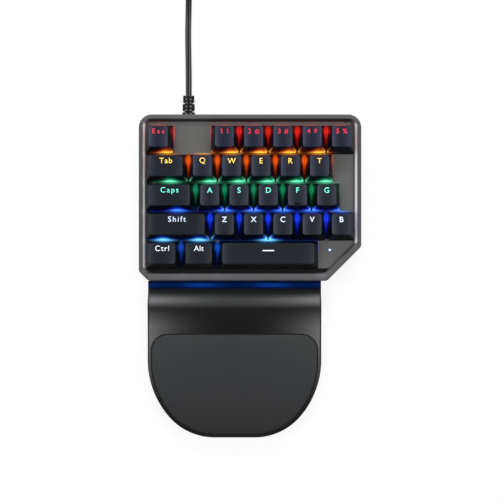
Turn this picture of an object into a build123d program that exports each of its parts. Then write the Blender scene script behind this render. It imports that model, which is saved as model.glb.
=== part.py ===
from build123d import *
import math
import os

# One-handed mechanical keypad with 27 keys and a wrist rest, lying on a table.
# X runs to the right, Y away from the user, Z up. The origin is on the table,
# under the middle of the keypad and its wrist rest, without the cord.

# Key field
key_pitch = 19.05
key_gap = 1.0
field_pitches_wide = 7.25
field_pitches_deep = 5
cap_skirt_height = 5.6
cap_heights = [10.6, 9.7, 9.0, 9.0, 9.4]
cap_side_lean = 2.9
cap_back_lean = 1.2
cap_front_lean = 3.3
cap_wall = 1.2
cap_roof = 1.6
cap_corner = 1.1
cap_top_corner = 2.4
cap_dish_radius = 36.0
cap_dish_depth = 0.5
cap_post_diameter = 5.4
row_tilts = [7.0, 4.0, 1.0, -2.0, -4.0]

# Case
field_side_margin = 4.44
field_back_margin = 7.2
field_front_margin = 7.55
case_corner = 8.6
case_front_corner = 4.0
case_right_chamfer = 22.6
case_left_chamfer = 6.3
case_wall = 2.0
case_floor = 2.2
seam_height = 9.0
lip_wall = 1.0
lip_height = 1.5
rim_rise = 3.9
rim_side_land = 2.8
rim_back_land = 2.6
rim_front_land = 4.6
rim_side_inset = 4.4
rim_back_inset = 5.2
rim_front_inset = 5.4
rim_edge_round = 0.5
cut_overrun = 2.0

# Plate, board and the gaps between them
foot_height = 1.5
foot_diameter = 9.0
foot_recess = 0.5
board_thickness = 1.6
board_gap = 4.3
plate_thickness = 1.5
plate_over_board = 5.0
plate_clearance = 0.2
board_inset = 3.6
small_clearance = 0.1
moving_clearance = 0.3

# Key switch
switch_hole = 14.0
switch_flange = 15.6
flange_thickness = 1.0
cover_height = 5.6
cover_top_width = 10.0
cover_wall = 1.3
cover_opening_width = 7.4
cover_opening_depth = 6.2
cavity_width = 10.6
cavity_back = 4.0
cavity_front = 4.6
base_floor = 1.3
guide_diameter = 3.9
guide_bore = 3.1
guide_below_board = 1.5
guide_floor = 0.7
stem_block_width = 7.0
stem_block_depth = 5.3
stem_skirt_width = 8.2
stem_skirt_depth = 7.2
stem_skirt_height = 3.1
stem_pin_diameter = 2.5
stem_pin_length = 4.9
cross_width = 4.0
cross_thickness = 1.2
cross_height = 3.6
spring_outer = 4.6
spring_inner = 3.5
led_width = 3.0
led_thickness = 1.6
led_offset = 5.0
led_rise = 4.4
led_round = 0.6
contact_offset = 3.0
contact_thickness = 0.3
contact_width = 1.6
contact_rise = 4.0
contact_pin_width = 0.8
contact_pin_hole = 1.3

# Stabilisers under the two widest keys
stabiliser_offset = 11.94
space_stabiliser_offset = 19.05
stab_housing_width = 6.4
stab_housing_depth = 11.6
stab_housing_rise = 2.2
slider_width = 3.6
slider_depth = 5.4
wire_diameter = 1.5
wire_bend = 1.1
wire_axis_offset = 8.6
wire_axis_below_plate = 0.9
wire_swing = 13.6
slider_slot_height = 3.4
slider_slot_width = 2.1
slider_bottom_wall = 0.7
clip_width = 2.0
clip_depth = 4.0
clip_rise = 3.4

# Small parts inside
plate_screw_head = 3.0
plate_screw_head_height = 1.0
plate_screw_shank = 1.6
plate_screw_length = 6.0
plate_post_diameter = 4.2
case_screw_head = 3.0
case_screw_head_height = 1.3
case_screw_shank = 1.5
case_screw_length = 8.0
case_boss_diameter = 3.6
case_boss_inset = 3.3
chip_side = 7.0
chip_height = 1.2
connector_width = 8.0
connector_depth = 5.0
connector_height = 3.2
indicator_side = 1.4
indicator_share = 6.405
indicator_back = 3.4

# Wrist rest
rest_length = 104.4
rest_width = 115.4
rest_offset = -10.3
rest_flat_reach = 51.6
rest_front_corner = 40.0
rest_arc_angle = 32.0
rest_wall = 2.4
rest_back_height = 8.2
rest_ledge = 5.2
rest_crest_height = 15.9
rest_crest_reach = 13.7
rest_crest_round = 12.0
rest_middle_height = 14.2
rest_front_height = 12.4
rest_edge_round = 2.2
rest_case_gap = 0.3
rest_base_thickness = 2.0
rest_rib_count = 5
rest_rib_thickness = 1.6
rest_boss_diameter = 6.0
rest_screw_shank = 2.2
rest_screw_head = 4.0
rest_screw_head_height = 1.2
rest_screw_length = 6.5
tongue_width = 14.0
tongue_reach = 10.0
tongue_thickness = 2.4
pad_start = 36.0
pad_inset = 2.8
pad_corner = 11.0
pad_depth = 1.8
pad_crown = 1.6
pad_edge_round = 1.2
pad_clearance = 0.5

# Cord
cord_diameter = 4.2
cord_exit_x = -41.0
relief_height = 6.1
relief_length = 13.4
relief_base_width = 8.4
relief_tip_width = 7.0
relief_tall = 6.2
relief_notch_depth = 0.8
relief_flange = 1.4
relief_neck_width = 6.0
relief_neck_tall = 4.4
coil_turns_in = 4.25
coil_turns_out = 4.0
coil_pitch = 4.7
coil_outer_radius = 36.6
coil_climb_inset = 1.1
coil_reach = 108.4
plug_width = 15.8
plug_tall = 8.0
plug_length = 26.0
plug_neck_length = 6.5
plug_corner = 2.0
plug_neck_width = 7.9
plug_neck_tall = 6.0
plug_shell_width = 12.0
plug_shell_tall = 4.5
plug_shell_length = 18.7
plug_shell_wall = 0.35
plug_tongue_tall = 1.85
plug_window = 2.1
tie_width = 6.0
tie_thickness = 0.5

# Heights and edges that follow from these
shell_bottom = foot_height
floor_top = shell_bottom + case_floor
board_bottom = floor_top + board_gap
board_top = board_bottom + board_thickness
plate_top = board_top + plate_over_board
plate_bottom = plate_top - plate_thickness
rim_top = plate_top + rim_rise
flange_top = plate_top + flange_thickness
cover_top = flange_top + cover_height
skirt_bottom = plate_top + cap_skirt_height
case_width = field_pitches_wide * key_pitch + 2 * field_side_margin
case_depth = field_pitches_deep * key_pitch + field_back_margin + field_front_margin
half_width = case_width / 2
total_length = case_depth + rest_length
case_back = total_length / 2
case_front = case_back - case_depth
case_middle = case_back - case_depth / 2
field_left = -key_pitch * field_pitches_wide / 2
field_back = case_back - field_back_margin
rest_back = case_front - rest_case_gap
rest_front = case_front - rest_length
rest_radius = rest_width / 2
rest_centre_y = rest_front + rest_flat_reach
cavity_floor = board_top + base_floor
cord_start_y = case_back + relief_length
coil_centre_y = cord_start_y + coil_reach

# Key rows from the back: name, left edge and width, as shares of the key pitch
row_shares = [
    [("esc", 0, 1), ("1", 2.25, 1), ("2", 3.25, 1), ("3", 4.25, 1), ("4", 5.25, 1), ("5", 6.25, 1)],
    [("tab", 0, 1.5), ("q", 1.5, 1), ("w", 2.5, 1), ("e", 3.5, 1), ("r", 4.5, 1), ("t", 5.5, 1)],
    [("caps", 0, 1.75), ("a", 1.75, 1), ("s", 2.75, 1), ("d", 3.75, 1), ("f", 4.75, 1), ("g", 5.75, 1)],
    [("shift", 0, 2.25), ("z", 2.25, 1), ("x", 3.25, 1), ("c", 4.25, 1), ("v", 5.25, 1), ("b", 6.25, 1)],
    [("ctrl", 0, 1.25), ("alt", 1.25, 1.25), ("space", 2.5, 3.5)],
]
plate_screw_shares = [
    (0.5, 1),
    (3.25, 1),
    (6.25, 1),
    (0.3, 2),
    (3.5, 3),
    (6.5, 3),
    (0.62, 4),
    (2.5, 4),
    (6.3, 4),
]
case_screw_shares = [(-0.86, 1), (0, 1), (0.86, 1), (-0.8, -1), (0.04, -1), (0.6, -1)]
case_foot_shares = [(-0.84, 0.78), (0.84, 0.78), (-0.84, -0.76), (0.5, -0.76)]
rest_screw_shares = [(-0.6, 0.3), (0.6, 0.3), (-0.55, -0.55), (0.55, -0.55)]
rest_foot_shares = [(-0.72, 0.05), (0.72, 0.05), (0, -0.78)]
tongue_shares = [-0.55, 0.55]
relief_shares = [(0, 0.17), (0.25, 0.58), (0.66, 1)]
arc_share = 0.45


def place(x, y, z=0):
    """A location at x, y and z."""
    return Location((x, y, z))


def block(width, depth, bottom, top, x=0, y=0):
    """A box centred on x and y that stands between two heights."""
    return place(x, y, bottom) * Box(
        width, depth, top - bottom, align=(Align.CENTER, Align.CENTER, Align.MIN)
    )


def post(diameter, bottom, top, x=0, y=0):
    """An upright cylinder between two heights."""
    return place(x, y, bottom) * Cylinder(
        diameter / 2, top - bottom, align=(Align.CENTER, Align.CENTER, Align.MIN)
    )


def keys():
    """Each key's name, row, middle and width in the key field."""
    found = []
    for row, entries in enumerate(row_shares):
        for name, left, width in entries:
            x = field_left + (left + width / 2) * key_pitch
            y = field_back - (row + 0.5) * key_pitch
            found.append((name, row, x, y, width * key_pitch))
    return found


all_keys = keys()
key_at = {name: (x, y) for name, row, x, y, width in all_keys}


def save(solids, node):
    """Writes one node, whose solids stay apart."""
    shape = solids
    if isinstance(solids, list):
        shape = Compound(children=solids) if len(solids) > 1 else solids[0]
    shape.label = node
    export_step(shape, f"parts/{node}.step")


def at_keys(solid):
    """A copy of a solid at each key's switch."""
    return [place(x, y) * solid for name, row, x, y, width in all_keys]


# Case outline, with its chamfered front corners
def case_outline(side, back, front):
    """The case's outline drawn in by so much at its sides, back and front."""
    mean = (side + front) / 2
    slant = mean * (2 - math.sqrt(2))
    left = -half_width + side
    right = half_width - side
    top = case_back - back
    bottom = case_front + front
    big = case_right_chamfer - slant
    small = max(case_left_chamfer - slant, case_front_corner)
    points = [
        (left, top),
        (right, top),
        (right, bottom + big),
        (right - big, bottom),
        (left + small, bottom),
        (left, bottom + small),
    ]
    face = make_face(Polyline(*points, close=True).edges())
    backs = face.vertices().group_by(Axis.Y)[-1]
    face = fillet(backs, max(case_corner - mean, case_front_corner))
    rest = [v for v in face.vertices() if v.Y < case_middle]
    return fillet(rest, case_front_corner)


def prism(face, bottom, top):
    """A face drawn at z zero, raised between two heights."""
    return Pos(0, 0, bottom) * extrude(face, amount=top - bottom, dir=(0, 0, 1))


def case_screw_places():
    """The middles of the screws that hold the case's two halves together."""
    reach = case_depth / 2 - case_boss_inset
    return [(share * half_width, case_middle + end * reach) for share, end in case_screw_shares]


def plate_screw_places():
    """The middles of the screws between the switches."""
    return [(field_left + a * key_pitch, field_back - b * key_pitch) for a, b in plate_screw_shares]


def tongue_places():
    """Where the wrist rest's two tongues enter the case."""
    return [rest_offset + share * rest_width / 2 for share in tongue_shares]


def make_top_frame():
    """The frame round the keys: wall, sloped rim and the bosses for the case screws."""
    outer = prism(case_outline(0, 0, 0), seam_height, rim_top)
    edge = outer.faces().sort_by(Axis.Z)[-1].edges()
    outer = chamfer(edge, rim_edge_round)
    inside = prism(case_outline(case_wall, case_wall, case_wall), seam_height - cut_overrun, plate_top)
    low = case_outline(rim_side_inset, rim_back_inset, rim_front_inset)
    high = case_outline(rim_side_land, rim_back_land, rim_front_land)
    opening = loft([Pos(0, 0, plate_top - rim_edge_round) * low, Pos(0, 0, rim_top) * high], ruled=True)
    opening += prism(high, rim_top, rim_top + cut_overrun)
    frame = outer - inside - opening
    for x, y in case_screw_places():
        toward = 1 if y > case_middle else -1
        web = block(
            case_boss_diameter,
            case_boss_inset,
            seam_height,
            plate_top,
            x,
            y + toward * case_boss_inset / 2 - toward * small_clearance,
        )
        boss = post(case_boss_diameter, floor_top, plate_top, x, y)
        pilot = post(case_screw_shank, floor_top - cut_overrun, floor_top + case_screw_length, x, y)
        frame = frame + web + boss - pilot
    return frame


def make_plate():
    """The steel plate that the switches clip into."""
    inset = case_wall + plate_clearance
    plate = prism(case_outline(inset, inset, inset), plate_bottom, plate_top)
    low, high = plate_bottom - cut_overrun, plate_top + cut_overrun
    holes = at_keys(block(switch_hole, switch_hole, low, high))
    for x, y, side in stabiliser_places():
        back = wire_axis_offset + plate_clearance
        front = stab_housing_depth / 2 + plate_clearance
        width = stab_housing_width + 2 * plate_clearance
        holes.append(block(width, back + front, low, high, x, y + (back - front) / 2))
    for x, y in plate_screw_places():
        holes.append(post(plate_screw_shank + 2 * small_clearance, low, high, x, y))
    for x, y in case_screw_places():
        boss = case_boss_diameter + 2 * plate_clearance
        toward = 1 if y > case_middle else -1
        holes.append(post(boss, low, high, x, y))
        holes.append(block(boss, case_boss_inset, low, high, x, y + toward * case_boss_inset / 2))
    x, y = indicator_place()
    holes.append(post(indicator_side + 2 * plate_clearance, low, high, x, y))
    return plate - holes


def make_board():
    """The circuit board, drilled for the switches, stabilisers and posts."""
    board = prism(case_outline(board_inset, board_inset, board_inset), board_bottom, board_top)
    low, high = board_bottom - cut_overrun, board_top + cut_overrun
    holes = at_keys(post(guide_diameter + 2 * small_clearance, low, high))
    for side in (-1, 1):
        y = -cavity_front + contact_thickness
        holes += at_keys(post(contact_pin_hole, low, high, side * contact_offset, y))
    for x, y, side in stabiliser_places():
        width = slider_width + 2 * moving_clearance
        depth = slider_depth + 2 * moving_clearance
        holes.append(block(width, depth, low, high, x, y))
    for x, y in plate_screw_places():
        holes.append(post(plate_post_diameter + 2 * plate_clearance, low, high, x, y))
    for x, y in case_screw_places():
        boss = case_boss_diameter + 2 * plate_clearance
        toward = 1 if y > case_middle else -1
        holes.append(post(boss, low, high, x, y))
        holes.append(block(boss, case_boss_inset, low, high, x, y + toward * case_boss_inset / 2))
    return board - holes


def make_bottom_shell():
    """The tray: floor, wall, lip, posts under the plate and the openings for cord and tongues."""
    shell = prism(case_outline(0, 0, 0), shell_bottom, seam_height)
    shell = chamfer(shell.faces().sort_by(Axis.Z)[0].edges(), rim_edge_round)
    shell -= prism(case_outline(case_wall, case_wall, case_wall), floor_top, seam_height + cut_overrun)
    start = case_wall + small_clearance
    step = start + lip_wall
    bottom = floor_top - small_clearance
    lip = prism(case_outline(start, start, start), bottom, seam_height + lip_height)
    lip -= prism(case_outline(step, step, step), bottom - cut_overrun, seam_height + lip_height + cut_overrun)
    middle = case_wall / 2
    wall_fill = prism(case_outline(middle, middle, middle), bottom, seam_height - lip_height)
    wall_fill -= prism(case_outline(step, step, step), bottom - cut_overrun, seam_height + cut_overrun)
    shell = shell + (lip + wall_fill)
    for x, y in plate_screw_places():
        shell += post(plate_post_diameter, bottom, plate_bottom, x, y)
        shell -= post(plate_screw_shank, plate_top - plate_screw_length, plate_top, x, y)
    for x, y in case_screw_places():
        boss = case_boss_diameter + 2 * plate_clearance
        toward = 1 if y > case_middle else -1
        top = seam_height + lip_height + cut_overrun
        shell -= post(boss, floor_top, top, x, y)
        web = y + toward * (case_boss_inset - case_wall) / 2
        shell -= block(boss, case_boss_inset - case_wall, floor_top, top, x, web)
        shell -= post(case_screw_shank + 2 * small_clearance, shell_bottom - cut_overrun, floor_top, x, y)
        sunk = shell_bottom + case_screw_head_height
        shell -= post(case_screw_head + 2 * plate_clearance, 0, sunk, x, y)
    for x, y in foot_places(case_foot_shares, half_width, case_depth / 2, 0, case_middle):
        shell -= post(foot_diameter + 2 * small_clearance, 0, shell_bottom + foot_recess, x, y)
    neck_reach = 2 * (case_wall + 2 * lip_wall)
    neck_width = relief_neck_width + 2 * small_clearance
    neck_tall = relief_neck_tall + 2 * small_clearance
    shell -= place(cord_exit_x, case_back, relief_height) * Box(neck_width, neck_reach, neck_tall)
    flange_tall = relief_tall + 2 * small_clearance
    flange_room = relief_base_width + 2 * small_clearance
    inner = case_back - case_wall - (relief_flange + small_clearance) / 2
    shell -= place(cord_exit_x, inner, relief_height) * Box(
        flange_room, relief_flange + small_clearance, flange_tall + lip_height
    )
    for x in tongue_places():
        slot = tongue_thickness + 2 * plate_clearance
        width = tongue_width + 2 * plate_clearance
        middle = floor_top + tongue_thickness / 2
        shell -= place(x, case_front, middle) * Box(width, neck_reach, slot)
        y = case_front + tongue_reach - tongue_width / 4
        shell -= post(rest_screw_shank + 2 * small_clearance, shell_bottom - cut_overrun, floor_top, x, y)
        shell -= post(rest_screw_head + 2 * plate_clearance, 0, shell_bottom + rest_screw_head_height, x, y)
    return shell


def foot_places(shares, reach_x, reach_y, x, y):
    """The middles of a row of feet, from shares of two reaches about x and y."""
    return [(x + a * reach_x, y + b * reach_y) for a, b in shares]


# Key switches
def make_switch_base():
    """The lower half of a switch's housing, with its flange and guide post."""
    body = block(
        switch_hole - 2 * small_clearance, switch_hole - 2 * small_clearance, board_top, plate_top
    )
    body += block(switch_flange, switch_flange, plate_top, flange_top)
    body += post(guide_diameter, board_bottom - guide_below_board, board_top)
    depth = cavity_front + cavity_back
    middle = (cavity_back - cavity_front) / 2
    body -= block(cavity_width, depth, cavity_floor, flange_top + cut_overrun, 0, middle)
    bore_bottom = board_bottom - guide_below_board + guide_floor
    body -= post(guide_bore, bore_bottom, cavity_floor + cut_overrun)
    body -= led_slot(board_top - cut_overrun, flange_top + cut_overrun)
    for side in (-1, 1):
        body -= block(
            contact_pin_width + 2 * small_clearance,
            contact_thickness + small_clearance,
            board_top - cut_overrun,
            cavity_floor + cut_overrun,
            side * contact_offset,
            -cavity_front + (contact_thickness + small_clearance) / 2,
        )
    return body


def led_slot(bottom, top):
    """The room round a switch's lamp."""
    wide = led_width + 2 * small_clearance
    deep = led_thickness + 2 * small_clearance
    return block(wide, deep, bottom, top, 0, led_offset)


def make_switch_cover():
    """The upper half of a switch's housing, open for the stem and the lamp."""
    low = Rectangle(switch_flange - 2 * small_clearance, switch_flange - 2 * small_clearance)
    high = Rectangle(cover_top_width, cover_top_width)
    cover = loft([Pos(0, 0, flange_top) * low, Pos(0, 0, cover_top) * high], ruled=True)
    inner_low = Rectangle(switch_flange - 2 * cover_wall, switch_flange - 2 * cover_wall)
    roof = cover_top - cover_wall
    inner_high = Rectangle(cover_top_width - cover_wall, cover_top_width - cover_wall)
    cover -= loft([Pos(0, 0, flange_top) * inner_low, Pos(0, 0, roof) * inner_high], ruled=True)
    cover -= block(cover_opening_width, cover_opening_depth, roof - cut_overrun, cover_top + cut_overrun)
    cover -= led_slot(flange_top - cut_overrun, cover_top + cut_overrun)
    return cover


def make_stem():
    """The sliding stem: block, retaining skirt, guide pin and cross."""
    skirt_low = cover_top - cover_wall - plate_clearance - stem_skirt_height
    stem = block(stem_skirt_width, stem_skirt_depth, skirt_low, skirt_low + stem_skirt_height)
    stem += block(stem_block_width, stem_block_depth, skirt_low, cover_top)
    stem += post(stem_pin_diameter, skirt_low - stem_pin_length, skirt_low)
    stem += cross(cross_width, cross_thickness, cover_top, cover_top + cross_height)
    return stem, skirt_low


def cross(width, thickness, bottom, top):
    """An upright cross between two heights."""
    return block(width, thickness, bottom, top) + block(thickness, width, bottom, top)


def cap_plane(row, lower=0):
    """The tilted plane of a cap's top, or one that lies lower."""
    middle = (cap_front_lean - cap_back_lean) / 2
    return Plane(
        origin=(0, middle, skirt_bottom + cap_heights[row] - lower),
        x_dir=(1, 0, 0),
        z_dir=(0, -math.sin(math.radians(row_tilts[row])), math.cos(math.radians(row_tilts[row]))),
    )


def make_cap(row, width, posts):
    """A keycap: leaning sides, dished top, hollow underside and a post for each stem."""
    wide = width - key_gap
    deep = key_pitch - key_gap
    top_wide = wide - 2 * cap_side_lean
    top_deep = deep - cap_front_lean - cap_back_lean
    low = Pos(0, 0, skirt_bottom) * RectangleRounded(wide, deep, cap_corner)
    high = cap_plane(row) * RectangleRounded(top_wide, top_deep, cap_top_corner)
    cap = loft([low, high], ruled=True)
    cap -= dish_cut(row, width - key_pitch, deep)
    inner_low = Pos(0, 0, skirt_bottom) * Rectangle(wide - 2 * cap_wall, deep - 2 * cap_wall)
    inner_high = cap_plane(row, 2 * cap_roof) * Rectangle(top_wide - cap_wall, top_deep - cap_wall)
    hollow = loft([inner_low, inner_high], ruled=True)
    cap -= hollow
    socket_width = cross_width + small_clearance
    socket_thickness = cross_thickness + small_clearance
    socket = cross(socket_width, socket_thickness, cover_top - cut_overrun, cover_top + cross_height)
    for x in posts:
        cap += post(cap_post_diameter, cover_top, skirt_bottom + cap_heights[row], x) & hollow
        cap -= place(x, 0) * socket
    return cap


def dish_cut(row, extra, deep):
    """The shallow bowl cut into a cap's top, drawn out by so much along a wide key."""
    centre = cap_dish_radius - cap_dish_depth
    profile = Pos(-extra / 2, centre) * Circle(cap_dish_radius)
    if extra > 0:
        profile += Pos(extra / 2, centre) * Circle(cap_dish_radius)
        profile += Pos(0, centre - cap_dish_radius / 2) * Rectangle(extra, cap_dish_radius)
    bowl = extrude(Plane.XZ * profile, amount=deep, both=True)
    return cap_plane(row).location * bowl


# Stabilisers
def stabiliser_places():
    """Each stabiliser's middle, and which side of its key it lies on."""
    found = []
    for name, offset in (("shift", stabiliser_offset), ("space", space_stabiliser_offset)):
        x, y = key_at[name]
        found += [(x - offset, y, -1), (x + offset, y, 1)]
    return found


wire_axis_height = plate_bottom - wire_axis_below_plate
slot_middle = wire_axis_height + wire_axis_offset * math.sin(math.radians(wire_swing))


def make_stab_housing(side):
    """A stabiliser's housing, with its slot for the wire and its clip."""
    top = plate_top + stab_housing_rise
    body = block(stab_housing_width, stab_housing_depth, board_top, top)
    wide = slider_width + 2 * moving_clearance
    deep = slider_depth + 2 * moving_clearance
    body -= block(wide, deep, board_top - cut_overrun, top + cut_overrun)
    arm = wire_diameter + 2 * moving_clearance
    highest = slot_middle + wire_diameter + moving_clearance
    body -= block(arm, stab_housing_depth, board_top - cut_overrun, highest, 0, stab_housing_depth / 2)
    x = -side * (stab_housing_width - clip_width) / 2
    y = wire_axis_offset - plate_clearance
    length = clip_depth + stab_housing_depth / 3
    body += block(clip_width, length, board_top, board_top + clip_rise, x, y - clip_depth / 3)
    bore = wire_diameter + 2 * plate_clearance
    rod = Rot(0, 90, 0) * Cylinder(bore / 2, 3 * stab_housing_width)
    body -= Pos(0, wire_axis_offset, wire_axis_height) * rod
    return body


def make_slider():
    """The sliding post of a stabiliser, with the slot that its wire enters."""
    half_slot = slider_slot_height / 2
    bottom = slot_middle - half_slot - slider_bottom_wall
    body = block(slider_width, slider_depth, bottom, cover_top)
    slot = Box(slider_slot_width, slider_depth, slider_slot_height)
    body -= Pos(0, slider_depth / 4, slot_middle) * slot
    body += cross(cross_width, cross_thickness, cover_top, cover_top + cross_height)
    return body


def make_wire(name, offset):
    """A stabiliser's bent wire, at rest with its arms raised."""
    x, y = key_at[name]
    reach = wire_axis_offset - small_clearance
    lean = math.radians(wire_swing)
    tip_y = y + wire_axis_offset - reach * math.cos(lean)
    tip_z = wire_axis_height + reach * math.sin(lean)
    back = y + wire_axis_offset
    points = [
        (x - offset, tip_y, tip_z),
        (x - offset, back, wire_axis_height),
        (x + offset, back, wire_axis_height),
        (x + offset, tip_y, tip_z),
    ]
    path = FilletPolyline(*points, radius=wire_bend)
    section = Plane(origin=path @ 0, z_dir=path % 0) * Circle(wire_diameter / 2)
    return sweep(section, path=path)


# Wrist rest
def rest_outline(inset, back):
    """The wrist rest's outline drawn in by so much, with its back edge at y."""
    radius = rest_radius - inset
    front = rest_front + inset
    reach = rest_centre_y - front
    half_flat = math.sqrt(radius**2 - reach**2)
    middle_y = rest_centre_y - radius * math.sin(math.radians(rest_arc_angle))
    middle_x = radius * math.cos(math.radians(rest_arc_angle))
    right = Polyline((radius, rest_centre_y), (radius, back), (-radius, back), (-radius, rest_centre_y))
    left_arc = ThreePointArc((-radius, rest_centre_y), (-middle_x, middle_y), (-half_flat, front))
    flat = Line((-half_flat, front), (half_flat, front))
    right_arc = ThreePointArc((half_flat, front), (middle_x, middle_y), (radius, rest_centre_y))
    face = make_face(right.edges() + left_arc.edges() + flat.edges() + right_arc.edges())
    corners = face.vertices().group_by(Axis.Y)[0]
    return Pos(rest_offset, 0, 0) * fillet(corners, rest_front_corner - inset)


def rest_side(lower, bottom):
    """A slab with the wrist rest's side profile, lowered by so much."""
    back = (case_front + cut_overrun, rest_back_height - lower)
    low = (case_front - rest_ledge, rest_back_height - lower)
    crest = (case_front - rest_crest_reach, rest_crest_height - lower)
    middle = (case_front - pad_start, rest_middle_height - lower)
    front = (rest_front - cut_overrun, rest_front_height - lower)
    rise = FilletPolyline(low, crest, middle, radius=rest_crest_round)
    edges = [
        Line((back[0], bottom), back),
        Line(back, low),
        rise,
        Line(middle, front),
        Line(front, (front[0], bottom)),
        Line((front[0], bottom), (back[0], bottom)),
    ]
    profile = Plane.YZ * make_face([e for part in edges for e in part.edges()])
    return Pos(rest_offset - rest_width, 0, 0) * extrude(profile, amount=2 * rest_width, dir=(1, 0, 0))


def pad_outline(inset):
    """The pad's outline: the rest's own, cut across at its back."""
    back = case_front - pad_start - inset
    face = rest_outline(pad_inset + inset, back)
    corners = face.vertices().group_by(Axis.Y)[-1]
    return fillet(corners, pad_corner - inset)


def rest_places(shares):
    """Places under the wrist rest, from shares of its half width and half length."""
    middle = (rest_back + rest_front) / 2
    return foot_places(shares, rest_width / 2, rest_length / 2, rest_offset, middle)


def make_rest_shell():
    """The wrist rest's upper shell, with its pad recess, ribs and screw bosses."""
    bottom = shell_bottom + rest_base_thickness
    outer = prism(rest_outline(0, rest_back), shell_bottom, 2 * rest_crest_height)
    body = outer & rest_side(0, shell_bottom - cut_overrun)
    top_edges = [e for e in body.edges() if e.bounding_box().min.Z > rest_back_height + small_clearance]
    sides = [e for e in top_edges if e.center().Y < rest_centre_y + pad_start]
    body = fillet(sides, rest_edge_round)
    hollow = prism(rest_outline(rest_wall, rest_back - rest_wall), 0, 2 * rest_crest_height)
    hollow = hollow & rest_side(rest_wall + pad_depth, -cut_overrun)
    body -= hollow
    step = rest_width / (rest_rib_count + 1)
    for i in range(rest_rib_count):
        x = rest_offset - rest_width / 2 + (i + 1) * step
        rib = block(rest_rib_thickness, 2 * rest_length, bottom, 2 * rest_crest_height, x, rest_back)
        body += rib & hollow
    for x, y in rest_places(rest_screw_shares):
        body += post(rest_boss_diameter, bottom, 2 * rest_crest_height, x, y) & hollow
        body -= post(rest_screw_shank - 2 * small_clearance, 0, bottom + rest_screw_length, x, y)
    for x in tongue_places():
        body -= tongue_room(x, 2 * small_clearance)
    recess = prism(pad_outline(0), 0, 2 * rest_crest_height) - rest_side(pad_depth, -cut_overrun)
    return body - recess


def tongue_room(x, clearance):
    """A tongue's root and what it passes through, with room round it."""
    y = rest_back - rest_wall
    top = floor_top + tongue_thickness + clearance
    width = tongue_width + 2 * clearance
    return block(width, 4 * rest_wall + 2 * clearance, shell_bottom, top, x, y)


def make_rest_base():
    """The wrist rest's floor, with the two tongues that enter the case."""
    inset = rest_wall + small_clearance
    top = shell_bottom + rest_base_thickness
    base = prism(rest_outline(inset, rest_back - inset), shell_bottom, top)
    for x in tongue_places():
        length = tongue_reach + 3 * rest_wall
        y = case_front + tongue_reach - length / 2
        base += block(tongue_width, length, floor_top, floor_top + tongue_thickness, x, y)
        high = floor_top + tongue_thickness
        root = block(tongue_width, 4 * rest_wall, shell_bottom, high, x, rest_back - rest_wall)
        base += root - prism(case_outline(-rest_case_gap, 0, -rest_case_gap), 0, rim_top)
        screw_y = case_front + tongue_reach - tongue_width / 4
        base -= post(rest_screw_shank - 2 * small_clearance, shell_bottom, 2 * floor_top, x, screw_y)
    for x, y in rest_places(rest_screw_shares):
        base -= post(rest_screw_shank + 2 * small_clearance, 0, top + cut_overrun, x, y)
        base -= post(rest_screw_head + 2 * small_clearance, 0, shell_bottom + rest_screw_head_height, x, y)
    for x, y in rest_places(rest_foot_shares):
        base -= post(foot_diameter + 2 * small_clearance, 0, shell_bottom + foot_recess, x, y)
    return base


def make_pad():
    """The soft pad: a crowned slab that fills its recess."""
    outline = prism(pad_outline(pad_clearance), 0, 2 * rest_crest_height)
    slab = outline & rest_side(-2 * pad_crown, -cut_overrun)
    slab -= rest_side(pad_depth - pad_clearance, -2 * cut_overrun)
    reach = rest_length - pad_start
    drop = math.degrees(math.atan((rest_middle_height - rest_front_height) / reach))
    bend = rest_radius**2 / (2 * pad_crown)
    height = (rest_middle_height + rest_front_height) / 2 + pad_crown
    middle = Location((rest_offset, case_front - pad_start - reach / 2, height), (90 + drop, 0, 0))
    slab = slab & middle * Pos(0, -bend, 0) * Cylinder(bend, 2 * rest_length)
    top = slab.faces().sort_by(Axis.Z)[-1]
    return fillet(top.edges(), pad_edge_round)


def screw(head, head_height, shank, length, head_up=True):
    """A screw whose head rests at z zero."""
    way = 1 if head_up else -1
    top = Pos(0, 0, way * head_height / 2) * Cylinder(head / 2, head_height)
    recess = Pos(0, 0, way * head_height) * cross_recess(head, head_height)
    rod = Pos(0, 0, -way * length / 2) * Cylinder(shank / 2, length)
    return top - recess + rod


def cross_recess(head, head_height):
    """The cross cut in a screw's head."""
    arm = head / 2
    slot = head / 6
    return Box(arm, slot, head_height) + Box(slot, arm, head_height)


def indicator_place():
    """Where the small lamp shows through the plate."""
    x = field_left + indicator_share * key_pitch
    y = key_at["space"][1] + indicator_back
    return x, y


# Cord
def make_relief():
    """The cord's strain relief: flange, neck and three tapering segments."""
    back = case_back - case_wall
    flange = Pos(0, back - relief_flange / 2, 0) * Box(relief_base_width, relief_flange, relief_tall)
    neck = Pos(0, back + case_wall / 2, 0) * Box(relief_neck_width, case_wall, relief_neck_tall)
    taper = relief_base_width - relief_tip_width
    core_width = relief_tip_width - 2 * relief_notch_depth
    body = flange + neck + upright_bar(core_width, relief_tall - taper, case_back, relief_length)
    for start, end in relief_shares:
        wide = relief_base_width - taper * start
        tall = relief_tall - taper * start
        body += upright_bar(wide, tall, case_back + start * relief_length, (end - start) * relief_length)
    return Pos(cord_exit_x, 0, relief_height) * body


def upright_bar(wide, tall, start, length):
    """A bar along the cord with rounded corners."""
    section = Plane(origin=(0, start, 0), x_dir=(1, 0, 0), z_dir=(0, 1, 0))
    corner = min(wide, tall) / 3
    return extrude(section * RectangleRounded(wide, tall, corner), amount=length)


coil_floor = cord_diameter / 2 + tie_thickness + plate_clearance
coil_x = cord_exit_x + coil_outer_radius

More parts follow.
